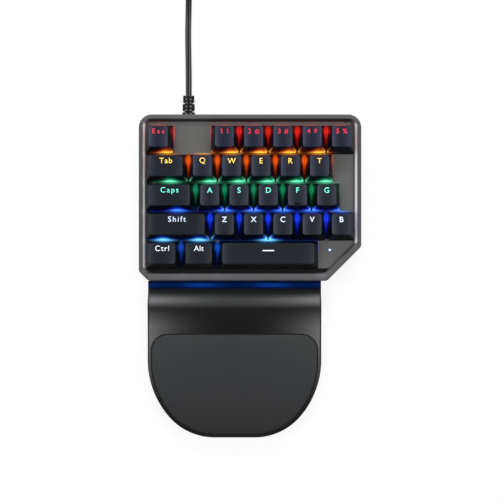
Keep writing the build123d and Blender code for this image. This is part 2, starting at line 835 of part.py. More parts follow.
# The cord's free stretch, as points from its start on the relief, with their heights
cord_run = [
    (0, 0, 6.1),
    (0, 10.4, 6.1),
    (-0.3, 26.4, 3.2),
    (-0.6, 42.4, 2.15),
    (-0.2, 61.4, 2.15),
    (0, 83.4, 2.8),
    (0, 104.2, 2.8),
]
cord_points = [(cord_exit_x + x, cord_start_y + y, z) for x, y, z in cord_run]

# The short end between the coil and the plug, as points from the coil's middle
tail_run = [
    (4.2, 35.425, 7.5),
    (14.4, 35.425, 7.5),
    (24.4, 35.2, 4.8),
    (33.4, 34.8, 4.1),
    (41.4, 34.8, 4.1),
]
tail_points = [(coil_x + x, coil_centre_y + y, z) for x, y, z in tail_run]


def cord_radii(points):
    """Each corner's radius: a share of its shorter run over the tangent of half the turn."""
    radii = []
    for a, b, c in zip(points, points[1:], points[2:]):
        first = Vector(b) - Vector(a)
        second = Vector(c) - Vector(b)
        turn = math.radians(first.get_angle(second))
        radii.append(arc_share * min(first.length, second.length) / math.tan(turn / 2))
    return radii


def make_tube(points):
    """The cord's tube along a route of straight runs and tangent arcs."""
    radii = cord_radii(points)
    path = FilletPolyline(*points, radius=radii)
    section = Plane(origin=path @ 0, z_dir=path % 0) * Circle(cord_diameter / 2)
    tube = sweep(section, path=path)
    ideal = math.pi * (cord_diameter / 2) ** 2 * path.length
    print("cord radii", [round(r, 1) for r in radii])
    print(f"cord length {path.length:.1f}, volume over section times length {tube.volume / ideal:.4f}")
    return tube


def coil_state(turn):
    """The coil's radius and height after so many turns, in on the floor and out on top."""
    inner = coil_outer_radius - coil_pitch * coil_turns_in
    away = abs(turn - coil_turns_in)
    radius = inner + coil_pitch * away
    if away <= 1 / 4:
        radius -= coil_climb_inset
    height = coil_floor if turn < coil_turns_in else coil_floor + coil_pitch
    return radius, height


def coil_point(turn):
    """A point on the coil's middle line after so many turns."""
    radius, height = coil_state(turn)
    angle = math.pi - 2 * math.pi * turn
    return Vector(coil_x + radius * math.cos(angle), coil_centre_y + radius * math.sin(angle), height)


def coil_way(turn):
    """The coil's direction after so many turns, level at every quarter."""
    angle = math.pi - 2 * math.pi * turn
    return Vector(math.sin(angle), -math.cos(angle), 0)


def biarc(a, way_a, b, way_b):
    """Two arcs that leave a along way_a and reach b along way_b."""
    run = b - a
    both = way_a + way_b
    twist = 2 * (1 - way_a.dot(way_b))
    along = run.dot(both)
    reach = (-along + math.sqrt(along**2 + twist * run.dot(run))) / twist
    joint = (a + b + (way_a - way_b) * reach) * 0.5
    first = Edge.make_tangent_arc(a, way_a, joint)
    second = Edge.make_tangent_arc(joint, first % 1, b)
    return [first, second]


def make_coil():
    """The put-away length, wound in two layers, as one tube with straight ends."""
    total = coil_turns_in + coil_turns_out
    turns = [i / 4 for i in range(int(total * 4) + 1)]
    turns.remove(coil_turns_in)
    start = coil_point(0)
    lead = start - coil_way(0) * cord_diameter
    edges = [Edge.make_line(lead, start)]
    for here, there in zip(turns, turns[1:]):
        edges += biarc(coil_point(here), coil_way(here), coil_point(there), coil_way(there))
    last = coil_point(total)
    tail = last + coil_way(total) * cord_diameter
    edges.append(Edge.make_line(last, tail))
    path = Wire(edges)
    section = Plane(origin=lead, z_dir=coil_way(0)) * Circle(cord_diameter / 2)
    tube = sweep(section, path=path)
    ideal = math.pi * (cord_diameter / 2) ** 2 * path.length
    print(f"coil length {path.length:.1f}, volume over section times length {tube.volume / ideal:.4f}")
    return tube


def make_tie():
    """The flat band round the coil's turns."""
    inner = coil_outer_radius - coil_pitch * coil_turns_in - cord_diameter / 2 - moving_clearance
    outer = coil_outer_radius + cord_diameter / 2 + plate_clearance
    low = coil_floor - cord_diameter / 2 - small_clearance
    high = coil_floor + coil_pitch + cord_diameter / 2 + small_clearance
    wide = outer - inner
    middle = Vector(coil_x + (outer + inner) / 2, coil_centre_y, (low + high) / 2)
    bore = Box(wide, 2 * tie_width, high - low)
    band = Box(wide + 2 * tie_thickness, tie_width, high - low + 2 * tie_thickness)
    band = fillet(band.edges().filter_by(Axis.Y), tie_thickness)
    return Pos(middle) * (band - bore)


def make_plug():
    """The plug's moulded body, metal shell and inner tongue, lying along X."""
    x, y, z = tail_points[-1]
    start = Plane(origin=(x, y, z), x_dir=(0, 1, 0), z_dir=(1, 0, 0))
    neck_plane = start.offset(plug_neck_length)
    small = RectangleRounded(plug_neck_width, plug_neck_tall, plug_corner)
    large = RectangleRounded(plug_width, plug_tall, plug_corner)
    body = loft([start * small, neck_plane * large], ruled=True)
    body += extrude(neck_plane * large, amount=plug_length - plug_neck_length)
    front = start.offset(plug_length)
    tongue_wide = plug_shell_width - 2 * plug_shell_wall
    metal = extrude(front * Rectangle(plug_shell_width, plug_shell_tall), amount=plug_shell_length)
    bore = front * Rectangle(tongue_wide, plug_shell_tall - 2 * plug_shell_wall)
    metal -= extrude(bore, amount=plug_shell_length)
    windows = front.offset(plug_shell_length / 2)
    for side in (-1, 1):
        for face in (-1, 1):
            centre = windows * Pos(side * plug_shell_width / 5, face * plug_shell_tall / 2, 0)
            metal -= centre * Box(plug_window, plug_shell_tall / 2, plug_window)
    shift = (plug_shell_tall - plug_tongue_tall) / 2 - plug_shell_wall
    core = front * Pos(0, shift) * Rectangle(tongue_wide, plug_tongue_tall)
    core = extrude(core, amount=plug_shell_length - plug_shell_wall)
    return body, metal, core


os.makedirs("parts", exist_ok=True)

# Keys, each with the stem that it stands on
stem, stem_bottom = make_stem()
for name, row, x, y, width in all_keys:
    offsets = {"shift": stabiliser_offset, "space": space_stabiliser_offset}
    spread = offsets.get(name, 0)
    posts = [0, -spread, spread] if spread else [0]
    cap = make_cap(row, width, posts)
    save([place(x, y) * cap, place(x, y) * stem], f"key_{name}")

save(make_top_frame(), "top_frame")
save(make_plate(), "switch_plate")
save(make_board(), "circuit_board")
save(make_bottom_shell(), "bottom_shell")
save(at_keys(make_switch_base()), "switch_bases")
save(at_keys(make_switch_cover()), "switch_covers")

spring = post(spring_outer, cavity_floor, stem_bottom) - post(spring_inner, cavity_floor, stem_bottom)
save(at_keys(spring), "switch_springs")

lamp = block(led_width, led_thickness, board_top, plate_top + led_rise, 0, led_offset)
lamp = fillet(lamp.faces().sort_by(Axis.Z)[-1].edges(), led_round)
save(at_keys(lamp), "switch_leds")

contacts = []
for side in (-1, 1):
    blade_y = -cavity_front + contact_thickness / 2
    x = side * contact_offset
    blade = block(contact_width, contact_thickness, cavity_floor, cavity_floor + contact_rise, x, blade_y)
    pin_low = board_bottom - guide_below_board
    blade += block(contact_pin_width, contact_thickness, pin_low, cavity_floor, x, blade_y)
    contacts += at_keys(blade)
save(contacts, "switch_contacts")

lamp_x, lamp_y = indicator_place()
indicator = block(indicator_side, indicator_side, board_top, plate_bottom, lamp_x, lamp_y)
indicator += post(indicator_side, plate_bottom, plate_top, lamp_x, lamp_y)
save(indicator, "indicator_led")

chip_x = field_left + 2 * key_pitch
chip_y = field_back - key_pitch
chip = block(chip_side, chip_side, board_bottom - chip_height, board_bottom, chip_x, chip_y)
save(chip, "controller_chip")

connector_y = case_back - 2 * field_back_margin - connector_depth
socket_bottom = board_bottom - connector_height
save(
    block(connector_width, connector_depth, socket_bottom, board_bottom, cord_exit_x, connector_y),
    "cable_connector",
)
pigtail_start = case_back - case_wall - relief_flange
pigtail_end = connector_y + connector_depth / 2
pigtail_height = (socket_bottom + board_bottom) / 2
pigtail_points = [
    (cord_exit_x, pigtail_start, pigtail_height),
    (cord_exit_x, pigtail_end, pigtail_height),
]
pigtail_path = Line(*pigtail_points)
pigtail_radius = connector_height / 2 - plate_clearance
pigtail_plane = Plane(origin=pigtail_path @ 0, z_dir=pigtail_path % 0)
pigtail_section = pigtail_plane * Circle(pigtail_radius)
save(sweep(pigtail_section, path=pigtail_path), "cable_pigtail")

# Stabilisers
places = stabiliser_places()
save([place(x, y) * make_stab_housing(side) for x, y, side in places], "stabiliser_housings")
slider = make_slider()
save([place(x, y) * slider for x, y, side in places[:2]], "shift_stabiliser_sliders")
save([place(x, y) * slider for x, y, side in places[2:]], "space_stabiliser_sliders")
save(make_wire("shift", stabiliser_offset), "shift_stabiliser_wire")
save(make_wire("space", space_stabiliser_offset), "space_stabiliser_wire")

# Screws and feet
plate_screw = Pos(0, 0, plate_top) * screw(
    plate_screw_head, plate_screw_head_height, plate_screw_shank, plate_screw_length - plate_thickness
)
save([place(x, y) * plate_screw for x, y in plate_screw_places()], "plate_screws")
seat = shell_bottom + case_screw_head_height
case_screw = Pos(0, 0, seat) * screw(
    case_screw_head, case_screw_head_height, case_screw_shank, case_screw_length, False
)
save([place(x, y) * case_screw for x, y in case_screw_places()], "case_screws")
rest_seat = shell_bottom + rest_screw_head_height
rest_screw = Pos(0, 0, rest_seat) * screw(
    rest_screw_head,
    rest_screw_head_height,
    rest_screw_shank - 2 * small_clearance,
    rest_screw_length - rest_screw_head_height,
    False,
)
tongue_screw_y = case_front + tongue_reach - tongue_width / 4
rest_screws = [place(x, y) * rest_screw for x, y in rest_places(rest_screw_shares)]
rest_screws += [place(x, tongue_screw_y) * rest_screw for x in tongue_places()]
save(rest_screws, "wrist_rest_screws")
foot = post(foot_diameter, 0, foot_height + foot_recess)
foot = chamfer(foot.faces().sort_by(Axis.Z)[0].edges(), foot_recess)
foot_spots = foot_places(case_foot_shares, half_width, case_depth / 2, 0, case_middle)
foot_spots += rest_places(rest_foot_shares)
save([place(x, y) * foot for x, y in foot_spots], "rubber_feet")

# Wrist rest
save(make_rest_shell(), "wrist_rest_shell")
save(make_rest_base(), "wrist_rest_base")
save(make_pad(), "wrist_pad")

# Cord, put-away coil, tie and plug
save(make_relief(), "strain_relief")
save(make_tube(cord_points), "cable")
save(make_coil(), "cable_coil")
save(make_tube(tail_points), "cable_tail")
save(make_tie(), "cable_tie")
plug_body, plug_metal, plug_core = make_plug()
save(plug_body, "plug_body")
save(plug_metal, "plug_shell")
save(plug_core, "plug_tongue")
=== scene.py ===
"""A one-handed mechanical keypad with a wrist rest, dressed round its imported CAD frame."""

from __future__ import annotations

import logging
import math
from dataclasses import dataclass
from enum import Enum
from typing import Callable, Sequence

import bmesh
import bpy
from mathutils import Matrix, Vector

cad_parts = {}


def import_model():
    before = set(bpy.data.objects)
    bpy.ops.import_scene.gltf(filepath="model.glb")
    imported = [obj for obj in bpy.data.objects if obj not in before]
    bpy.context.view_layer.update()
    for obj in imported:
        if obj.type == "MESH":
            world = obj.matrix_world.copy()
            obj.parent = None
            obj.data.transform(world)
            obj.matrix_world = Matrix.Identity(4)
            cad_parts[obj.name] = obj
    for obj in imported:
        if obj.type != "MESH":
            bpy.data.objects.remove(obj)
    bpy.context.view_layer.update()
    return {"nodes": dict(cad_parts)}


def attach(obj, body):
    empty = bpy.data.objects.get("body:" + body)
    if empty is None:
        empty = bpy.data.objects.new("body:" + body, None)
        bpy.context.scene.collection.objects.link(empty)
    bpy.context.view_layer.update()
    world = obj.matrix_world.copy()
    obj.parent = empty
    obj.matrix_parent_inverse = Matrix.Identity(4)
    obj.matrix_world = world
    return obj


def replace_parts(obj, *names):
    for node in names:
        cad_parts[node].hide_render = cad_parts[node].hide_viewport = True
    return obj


LOG = logging.getLogger("keypad")
MM = 0.001
Point = tuple[float, float, float]
Outline = list[tuple[float, float]]
Colour = tuple[float, float, float]
NO_LIGHT: Colour = (0.0, 0.0, 0.0)


def srgb(red: float, green: float, blue: float) -> Colour:
    """Turns a colour written from 0 to 255 into linear light.

    Args:
        red: red, as a screen shows it.
        green: green, as a screen shows it.
        blue: blue, as a screen shows it.

    Returns:
        The three linear values.
    """

    def linear(value: float) -> float:
        """One channel in linear light."""
        share = value / 255
        return share / 12.92 if share <= 0.04045 else ((share + 0.055) / 1.055) ** 2.4

    return (linear(red), linear(green), linear(blue))


def bell(distance: float, spread: float) -> float:
    """A soft bell of height 1 that fades over a spread."""
    return math.exp(-((distance / spread) ** 2))


def clamp(value: float) -> float:
    """A number held between 0 and 1."""
    return min(1.0, max(0.0, value))


def blend(first: Colour, second: Colour, share: float) -> Colour:
    """A colour part way from one to another."""
    return tuple(a + (b - a) * share for a, b in zip(first, second))


def with_light(base: Colour, light: Colour, strength: float) -> Colour:
    """A colour with so much of a light added."""
    return tuple(a + b * strength for a, b in zip(base, light))


class Num:
    """A number socket in a material, with arithmetic written as Python."""

    def __init__(self, paint: Paint, socket: bpy.types.NodeSocket) -> None:
        """Wraps a socket of a paint's node tree."""
        self.paint = paint
        self.socket = socket

    def _math(self, operation: str, first: object, second: object = None) -> Num:
        """Adds one Math node and returns its result."""
        values = {0: first} if second is None else {0: first, 1: second}
        made = self.paint.node("ShaderNodeMath", {"operation": operation}, values)
        return Num(self.paint, made.outputs[0])

    def __add__(self, other: object) -> Num:
        """self + other."""
        return self._math("ADD", self, other)

    def __radd__(self, other: object) -> Num:
        """other + self."""
        return self._math("ADD", other, self)

    def __sub__(self, other: object) -> Num:
        """self - other."""
        return self._math("SUBTRACT", self, other)

    def __rsub__(self, other: object) -> Num:
        """other - self."""
        return self._math("SUBTRACT", other, self)

    def __mul__(self, other: object) -> Num:
        """self times other."""
        return self._math("MULTIPLY", self, other)

    def __rmul__(self, other: object) -> Num:
        """other times self."""
        return self._math("MULTIPLY", other, self)

    def __truediv__(self, other: object) -> Num:
        """self over other."""
        return self._math("DIVIDE", self, other)

    def __pow__(self, other: object) -> Num:
        """self to a power."""
        return self._math("POWER", self, other)

    def above(self, other: object) -> Num:
        """1 where self is greater, else 0."""
        return self._math("GREATER_THAN", self, other)

    def below(self, other: object) -> Num:
        """1 where self is less, else 0."""
        return self._math("LESS_THAN", self, other)

    def absolute(self) -> Num:
        """The size without its sign."""
        return self._math("ABSOLUTE", self)

    def wave(self, period: float) -> Num:
        """A sine of one period."""
        return self._math("SINE", self * (2 * math.pi / period))

    def clamped(self) -> Num:
        """Held between 0 and 1."""
        return self._math("MINIMUM", self._math("MAXIMUM", self, 0.0), 1.0)

    def bell(self, centre: float, spread: float) -> Num:
        """A soft bell of height 1 about a centre."""
        away = (self - centre) / spread
        return self._math("EXPONENT", away * away * -1.0)


class Paint:
    """A material in the making: its node tree and its surface."""

    def __init__(self, name: str) -> None:
        """Starts a material with an empty surface."""
        self.material = bpy.data.materials.new(name)
        self.material.use_nodes = True
        self.tree = self.material.node_tree
        self.surface = next(n for n in self.tree.nodes if n.type == "BSDF_PRINCIPLED")

    def node(
        self,
        kind: str,
        settings: dict | None = None,
        values: dict | None = None,
    ) -> bpy.types.Node:
        """Adds a node, sets it up, then fills its sockets.

        Args:
            kind: the node's type name.
            settings: properties to set first.
            values: socket name or number to a value, a Num or a socket.

        Returns:
            The node.
        """
        made = self.tree.nodes.new(kind)
        for name, value in (settings or {}).items():
            setattr(made, name, value)
        for name, value in (values or {}).items():
            self.feed(made.inputs[name], value)
        return made

    def feed(self, socket: bpy.types.NodeSocket, value: object) -> None:
        """Links or sets one input socket."""
        if isinstance(value, Num):
            value = value.socket
        if isinstance(value, bpy.types.NodeSocket):
            self.tree.links.new(value, socket)
        elif isinstance(value, tuple) and len(value) == 3 and socket.type == "RGBA":
            socket.default_value = (*value, 1.0)
        else:
            socket.default_value = value

    def set(self, **values: object) -> Paint:
        """Sets the surface's sockets, with spaces written as underscores."""
        for name, value in values.items():
            self.feed(self.surface.inputs[name.replace("_", " ")], value)
        return self

    def place(self) -> bpy.types.NodeSocket:
        """The point of the surface, in the object's own frame."""
        return self.node("ShaderNodeTexCoord").outputs["Object"]

    def axes(self) -> tuple[Num, Num, Num]:
        """The point's x, y and z."""
        split = self.node("ShaderNodeSeparateXYZ", values={"Vector": self.place()})
        return tuple(Num(self, split.outputs[i]) for i in range(3))

    def noise(self, scale: float, detail: float = 2.0, stretch: Point = (1, 1, 1)) -> Num:
        """Noise at a scale per metre, stretched along the axes."""
        mapped = self.node("ShaderNodeMapping", values={"Vector": self.place(), "Scale": stretch})
        values = {"Vector": mapped.outputs[0], "Scale": scale, "Detail": detail}
        made = self.node("ShaderNodeTexNoise", {"noise_dimensions": "3D"}, values)
        return Num(self, made.outputs["Fac"])

    def cells(self, scale: float, feature: str = "F1") -> Num:
        """The distance to the nearest cell's middle, or to its edge."""
        values = {"Vector": self.place(), "Scale": scale}
        made = self.node("ShaderNodeTexVoronoi", {"feature": feature}, values)
        return Num(self, made.outputs["Distance"])

    def mix(
        self,
        share: object,
        first: object,
        second: object,
        mode: str = "MIX",
    ) -> bpy.types.NodeSocket:
        """Mixes two colours by a share, or adds the second by it."""
        made = self.node("ShaderNodeMix", {"data_type": "RGBA", "blend_type": mode})
        self.feed(made.inputs[0], share)
        self.feed(made.inputs[6], first)
        self.feed(made.inputs[7], second)
        return made.outputs[2]

    def attribute(self, name: str) -> bpy.types.NodeSocket:
        """A colour stored on the mesh's points."""
        return self.node("ShaderNodeAttribute", {"attribute_name": name}).outputs["Color"]

    def bump(self, height: Num, strength: float, distance: float) -> Paint:
        """Raises the surface by a height map."""
        values = {"Height": height, "Strength": strength, "Distance": distance}
        made = self.node("ShaderNodeBump", values=values)
        return self.set(Normal=made.outputs["Normal"])


class Texture(Enum):
    """How a moulded or cast surface is textured."""

    FINE = (2600.0, 0.25)
    SATIN = (1500.0, 0.12)
    COARSE = (900.0, 0.4)


@dataclass(frozen=True)
class Moulded:
    """A moulded plastic: its colour, gloss and grain."""

    name: str
    colour: Colour
    roughness: float
    texture: Texture = Texture.FINE
    coat: float = 0.0
    wear: float = 0.15
    shine: float = 0.25

    def paint(self) -> bpy.types.Material:
        """Builds the material."""
        paint = Paint(self.name)
        scale, height = self.texture.value
        grain = paint.noise(scale, 3.0)
        cloud = paint.noise(60.0, 3.0)
        lighter = tuple(min(1.0, c * (1 + 2 * self.wear)) for c in self.colour)
        paint.set(Base_Color=paint.mix(cloud, self.colour, lighter))
        paint.set(Roughness=(cloud - 0.5) * 0.12 + (grain - 0.5) * 0.08 + self.roughness)
        paint.set(Coat_Weight=self.coat, Coat_Roughness=0.12, Specular_IOR_Level=self.shine)
        paint.bump(grain, height, 0.00004)
        return paint.material


@dataclass(frozen=True)
class Metal:
    """A metal or metallic paint, plain or brushed along one axis."""

    name: str
    colour: Colour
    roughness: float
    metallic: float = 1.0
    brush: Point = (1, 1, 1)
    height: float = 0.1

    def start(self) -> Paint:
        """Builds the material and leaves it open for more."""
        paint = Paint(self.name)
        grain = paint.noise(1800.0, 3.0, self.brush)
        cloud = paint.noise(45.0, 2.0)
        lighter = tuple(min(1.0, c * 1.25) for c in self.colour)
        paint.set(Base_Color=paint.mix(cloud * 0.6 + grain * 0.4, self.colour, lighter))
        paint.set(Roughness=(grain - 0.5) * 0.16 + (cloud - 0.5) * 0.08 + self.roughness)
        paint.set(Metallic=self.metallic)
        paint.bump(grain, self.height, 0.00003)
        return paint

    def paint(self) -> bpy.types.Material:
        """Builds the material."""
        return self.start().material


@dataclass(frozen=True)
class RowLight:
    """One key row's lamps.

    The colours are the light's own, its hot middle's and the lit letters'. The strengths are those
    on the caps' sides between the keys, on the plate under the row and on the plate behind it.
    """

    glow: Colour
    core: Colour
    letters: Colour
    between: float
    on_plate: float
    behind: float


ROW_LIGHTS = (
    RowLight(srgb(225, 22, 12), srgb(255, 96, 60), srgb(222, 34, 64), 0.85, 0.6, 0.1),
    RowLight(srgb(232, 74, 6), srgb(255, 205, 70), srgb(255, 218, 104), 0.8, 0.75, 0.35),
    RowLight(srgb(10, 150, 96), srgb(120, 246, 196), srgb(120, 240, 214), 0.5, 0.5, 0.45),
    RowLight(srgb(12, 44, 232), srgb(84, 150, 255), srgb(216, 230, 255), 0.85, 0.8, 0.35),
    RowLight(srgb(12, 84, 232), srgb(120, 220, 255), srgb(232, 244, 252), 0.42, 0.4, 0.9),
)


@dataclass(frozen=True)
class Layout:
    """The key field: pitch, rows and where the lamps lie."""

    pitch: float = 19.05
    gap: float = 1.0
    left: float = -19.05 * 7.25 / 2
    back: float = 100.0
    lamp_ahead: float = 5.2
    first_keys: tuple = (("esc", 0, 1), ("tab", 0, 1.5), ("caps", 0, 1.75), ("shift", 0, 2.25))
    letter_keys: tuple = ((2.25, "12345"), (1.5, "qwert"), (1.75, "asdfg"), (2.25, "zxcvb"))
    front_keys: tuple = (("ctrl", 0, 1.25), ("alt", 1.25, 1.25), ("space", 2.5, 3.5))

    @property
    def row_count(self) -> int:
        """How many rows of keys there are."""
        return len(self.first_keys) + 1

    def keys(self, row: int) -> list[tuple[str, float, float]]:
        """Each key's name, left edge and width in a row, in pitches."""
        if row == len(self.first_keys):
            return list(self.front_keys)
        left, names = self.letter_keys[row]
        return [self.first_keys[row]] + [(name, left + i, 1) for i, name in enumerate(names)]

    def row_y(self, row: int) -> float:
        """The middle of a row."""
        return self.back - (row + 0.5) * self.pitch

    def spans(self, row: int) -> list[tuple[str, float, float]]:
        """Each key's name, left edge and right edge in a row."""
        found = []
        for name, left, width in self.keys(row):
            start = self.left + left * self.pitch
            found.append((name, start, start + width * self.pitch))
        return found

    def blocks(self, row: int) -> list[list[tuple[str, float, float]]]:
        """A row's keys in runs without a space between them: Esc stands on its own."""
        spans = self.spans(row)
        return [spans[:1], spans[1:]] if row == 0 else [spans]

    def lamps(self, row: int) -> list[float]:
        """Where along x the lamps of a row lie."""
        return [(start + end) / 2 for _, start, end in self.spans(row)]


LAYOUT = Layout()


def add_object(name: str, data: bpy.types.ID | None) -> bpy.types.Object:
    """Puts an object of some data in the scene."""
    made = bpy.data.objects.new(name, data)
    bpy.context.scene.collection.objects.link(made)
    return made


def mesh_piece(
    name: str,
    points: Sequence[Point],
    faces: Sequence[Sequence[int]],
    smooth: bool = True,
) -> bpy.types.Object:
    """Makes an object from points in millimetres.

    Args:
        name: the piece's name.
        points: the corners.
        faces: each face's corner numbers.
        smooth: whether the faces are shaded smooth.

    Returns:
        The new object, in the scene.
    """
    mesh = bpy.data.meshes.new(name)
    mesh.from_pydata([(x * MM, y * MM, z * MM) for x, y, z in points], [], faces)
    mesh.validate()
    work = bmesh.new()
    work.from_mesh(mesh)
    bmesh.ops.recalc_face_normals(work, faces=work.faces)
    work.to_mesh(mesh)
    work.free()
    if smooth:
        mesh.shade_smooth()
    return add_object(name, mesh)


def store_colours(piece: bpy.types.Object, name: str, colours: Sequence[Colour]) -> None:
    """Stores a colour on each of a mesh's points."""
    layer = piece.data.attributes.new(name, "FLOAT_COLOR", "POINT")
    layer.data.foreach_set("color", [value for colour in colours for value in (*colour, 1.0)])


def finish_piece(
    piece: bpy.types.Object,
    material: bpy.types.Material,
    body: str,
) -> bpy.types.Object:
    """Dresses a piece, puts it on its body and logs it."""
    if not piece.data.materials:
        piece.data.materials.append(material)
    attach(piece, body)
    LOG.info("made %s on %s", piece.name, body)
    return piece


def rounded_rectangle(
    width: float,
    depth: float,
    radius: float,
    straight: int,
    corner: int,
) -> Outline:
    """A rounded rectangle's points, as many at any size.

    Args:
        width: along x.
        depth: along y.
        radius: of the corners.
        straight: points along each straight side.
        corner: points round each corner.

    Returns:
        The points, anticlockwise from the right side's lower end.
    """
    radius = min(radius, width / 2, depth / 2)
    found = []
    middles = ((1, 1, 0), (-1, 1, 90), (-1, -1, 180), (1, -1, 270))
    for k, (sx, sy, turn) in enumerate(middles):
        cx, cy = sx * (width / 2 - radius), sy * (depth / 2 - radius)
        for i in range(corner + 1):
            angle = math.radians(turn + 90 * i / corner)
            found.append((cx + radius * math.cos(angle), cy + radius * math.sin(angle)))
        nx, ny, _ = middles[(k + 1) % 4]
        end_angle = math.radians(turn + 90)
        ex = nx * (width / 2 - radius) + radius * math.cos(end_angle)
        ey = ny * (depth / 2 - radius) + radius * math.sin(end_angle)
        last = found[-1]
        for i in range(1, straight):
            share = i / straight
            found.append((last[0] + (ex - last[0]) * share, last[1] + (ey - last[1]) * share))
    return found


def round_corners(corners: Sequence[Point], steps: int) -> Outline:
    """A closed outline with its corners rounded.

    Args:
        corners: each corner's two places and its radius.
        steps: runs round each corner.

    Returns:
        The outline's points.
    """
    found = []
    count = len(corners)
    for k, (x, y, radius) in enumerate(corners):
        here = Vector((x, y))
        to_before = (Vector(corners[k - 1][:2]) - here).normalized()
        to_after = (Vector(corners[(k + 1) % count][:2]) - here).normalized()
        half = to_before.angle(to_after) / 2
        reach = radius / math.tan(half)
        middle = here + (to_before + to_after).normalized() * (radius / math.sin(half))
        first, last = here + to_before * reach, here + to_after * reach
        for i in range(steps + 1):
            share = i / steps
            mixed = (first - middle) * (1 - share) + (last - middle) * share
            spot = middle + mixed.normalized() * radius
            found.append((spot.x, spot.y))
    return found


def ring_faces(rings: int, around: int, first: int = 0) -> list[tuple[int, int, int, int]]:
    """The faces between closed rings of points that follow each other."""
    found = []
    for k in range(rings - 1):
        for i in range(around):
            a = first + k * around + i
            b = first + k * around + (i + 1) % around
            found.append((a, b, b + around, a + around))
    return found


@dataclass
class Studio:
    """The floor, the lights and the camera over the keypad."""

    height: float = 0.85
    middle: tuple[float, float] = (0.0, 0.0176)
    rim_height: float = 0.0169
    rim_scale: float = 0.6605 * MM
    frame: int = 500
    sensor: float = 36.0
    floor_side: float = 6.0
    floor_lift: float = 0.86
    fill: float = 0.15
    lamps: tuple = (
        ("back_softbox", (0.0, 1.2, 0.95), (1.2, 0.22), 11.0),
        ("left_softbox", (-0.82, 0.05, 1.35), (0.5, 1.2), 6.5),
        ("right_softbox", (0.82, 0.05, 1.35), (0.5, 1.2), 6.0),
        ("front_softbox", (0.0, -1.5, 0.9), (1.3, 0.5), 2.5),
    )

    def build(self) -> None:
        """Makes the whole studio."""
        self._camera()
        self._floor()
        self._world()
        for name, place, size, power in self.lamps:
            self._lamp(name, place, size, power)

    def _camera(self) -> None:
        """A camera straight above, framed as the photograph is."""
        data = bpy.data.cameras.new("camera")
        data.sensor_width = self.sensor
        half = self.frame / 2 * self.rim_scale
        data.lens = data.sensor_width / 2 * (self.height - self.rim_height) / half
        camera = add_object("camera", data)
        camera.location = (*self.middle, self.height)
        bpy.context.scene.camera = camera

    def _floor(self) -> None:
        """A pale floor that stays white and keeps the shadow."""
        half = self.floor_side / 2 / MM
        points = [(-half, -half, 0), (half, -half, 0), (half, half, 0), (-half, half, 0)]
        floor = mesh_piece("floor", points, [(0, 1, 2, 3)], smooth=False)
        paint = Paint("floor_paper")
        paint.set(Base_Color=srgb(124, 124, 124), Roughness=0.9, Specular_IOR_Level=0.1)
        path = paint.node("ShaderNodeLightPath")
        rays = ("Is Camera Ray", "Is Glossy Ray", "Is Transmission Ray")
        camera, glossy, through = (Num(paint, path.outputs[name]) for name in rays)
        lift = (camera + glossy + through).clamped() * self.floor_lift
        glow = paint.mix(lift, NO_LIGHT, (1.0, 1.0, 1.0))
        paint.set(Emission_Color=glow, Emission_Strength=1.0)
        floor.data.materials.append(paint.material)

    def _world(self) -> None:
        """A white surround for the camera and gloss, and a soft fill for the rest."""
        world = bpy.data.worlds.new("surround")
        bpy.context.scene.world = world
        world.use_nodes = True
        tree = world.node_tree
        background = tree.nodes["Background"]
        path = tree.nodes.new("ShaderNodeLightPath")
        seen = path.outputs["Is Camera Ray"]
        for ray in ("Is Glossy Ray", "Is Transmission Ray"):
            either = tree.nodes.new("ShaderNodeMath")
            either.operation = "MAXIMUM"
            tree.links.new(seen, either.inputs[0])
            tree.links.new(path.outputs[ray], either.inputs[1])
            seen = either.outputs[0]
        strength = tree.nodes.new("ShaderNodeMapRange")
        strength.inputs["To Min"].default_value = self.fill
        strength.inputs["To Max"].default_value = 1.0
        tree.links.new(seen, strength.inputs["Value"])
        tree.links.new(strength.outputs["Result"], background.inputs["Strength"])
        background.inputs["Color"].default_value = (1.0, 1.0, 1.0, 1.0)

    def _lamp(self, name: str, place: Point, size: tuple[float, float], power: float) -> None:
        """A soft rectangular lamp that faces the keypad."""
        data = bpy.data.lights.new(name, "AREA")
        data.shape = "RECTANGLE"
        data.size, data.size_y = size
        data.energy = power
        lamp = add_object(name, data)
        lamp.location = place
        aim = Vector((*self.middle, 0.0)) - Vector(place)
        lamp.rotation_euler = aim.to_track_quat("-Z", "Y").to_euler()


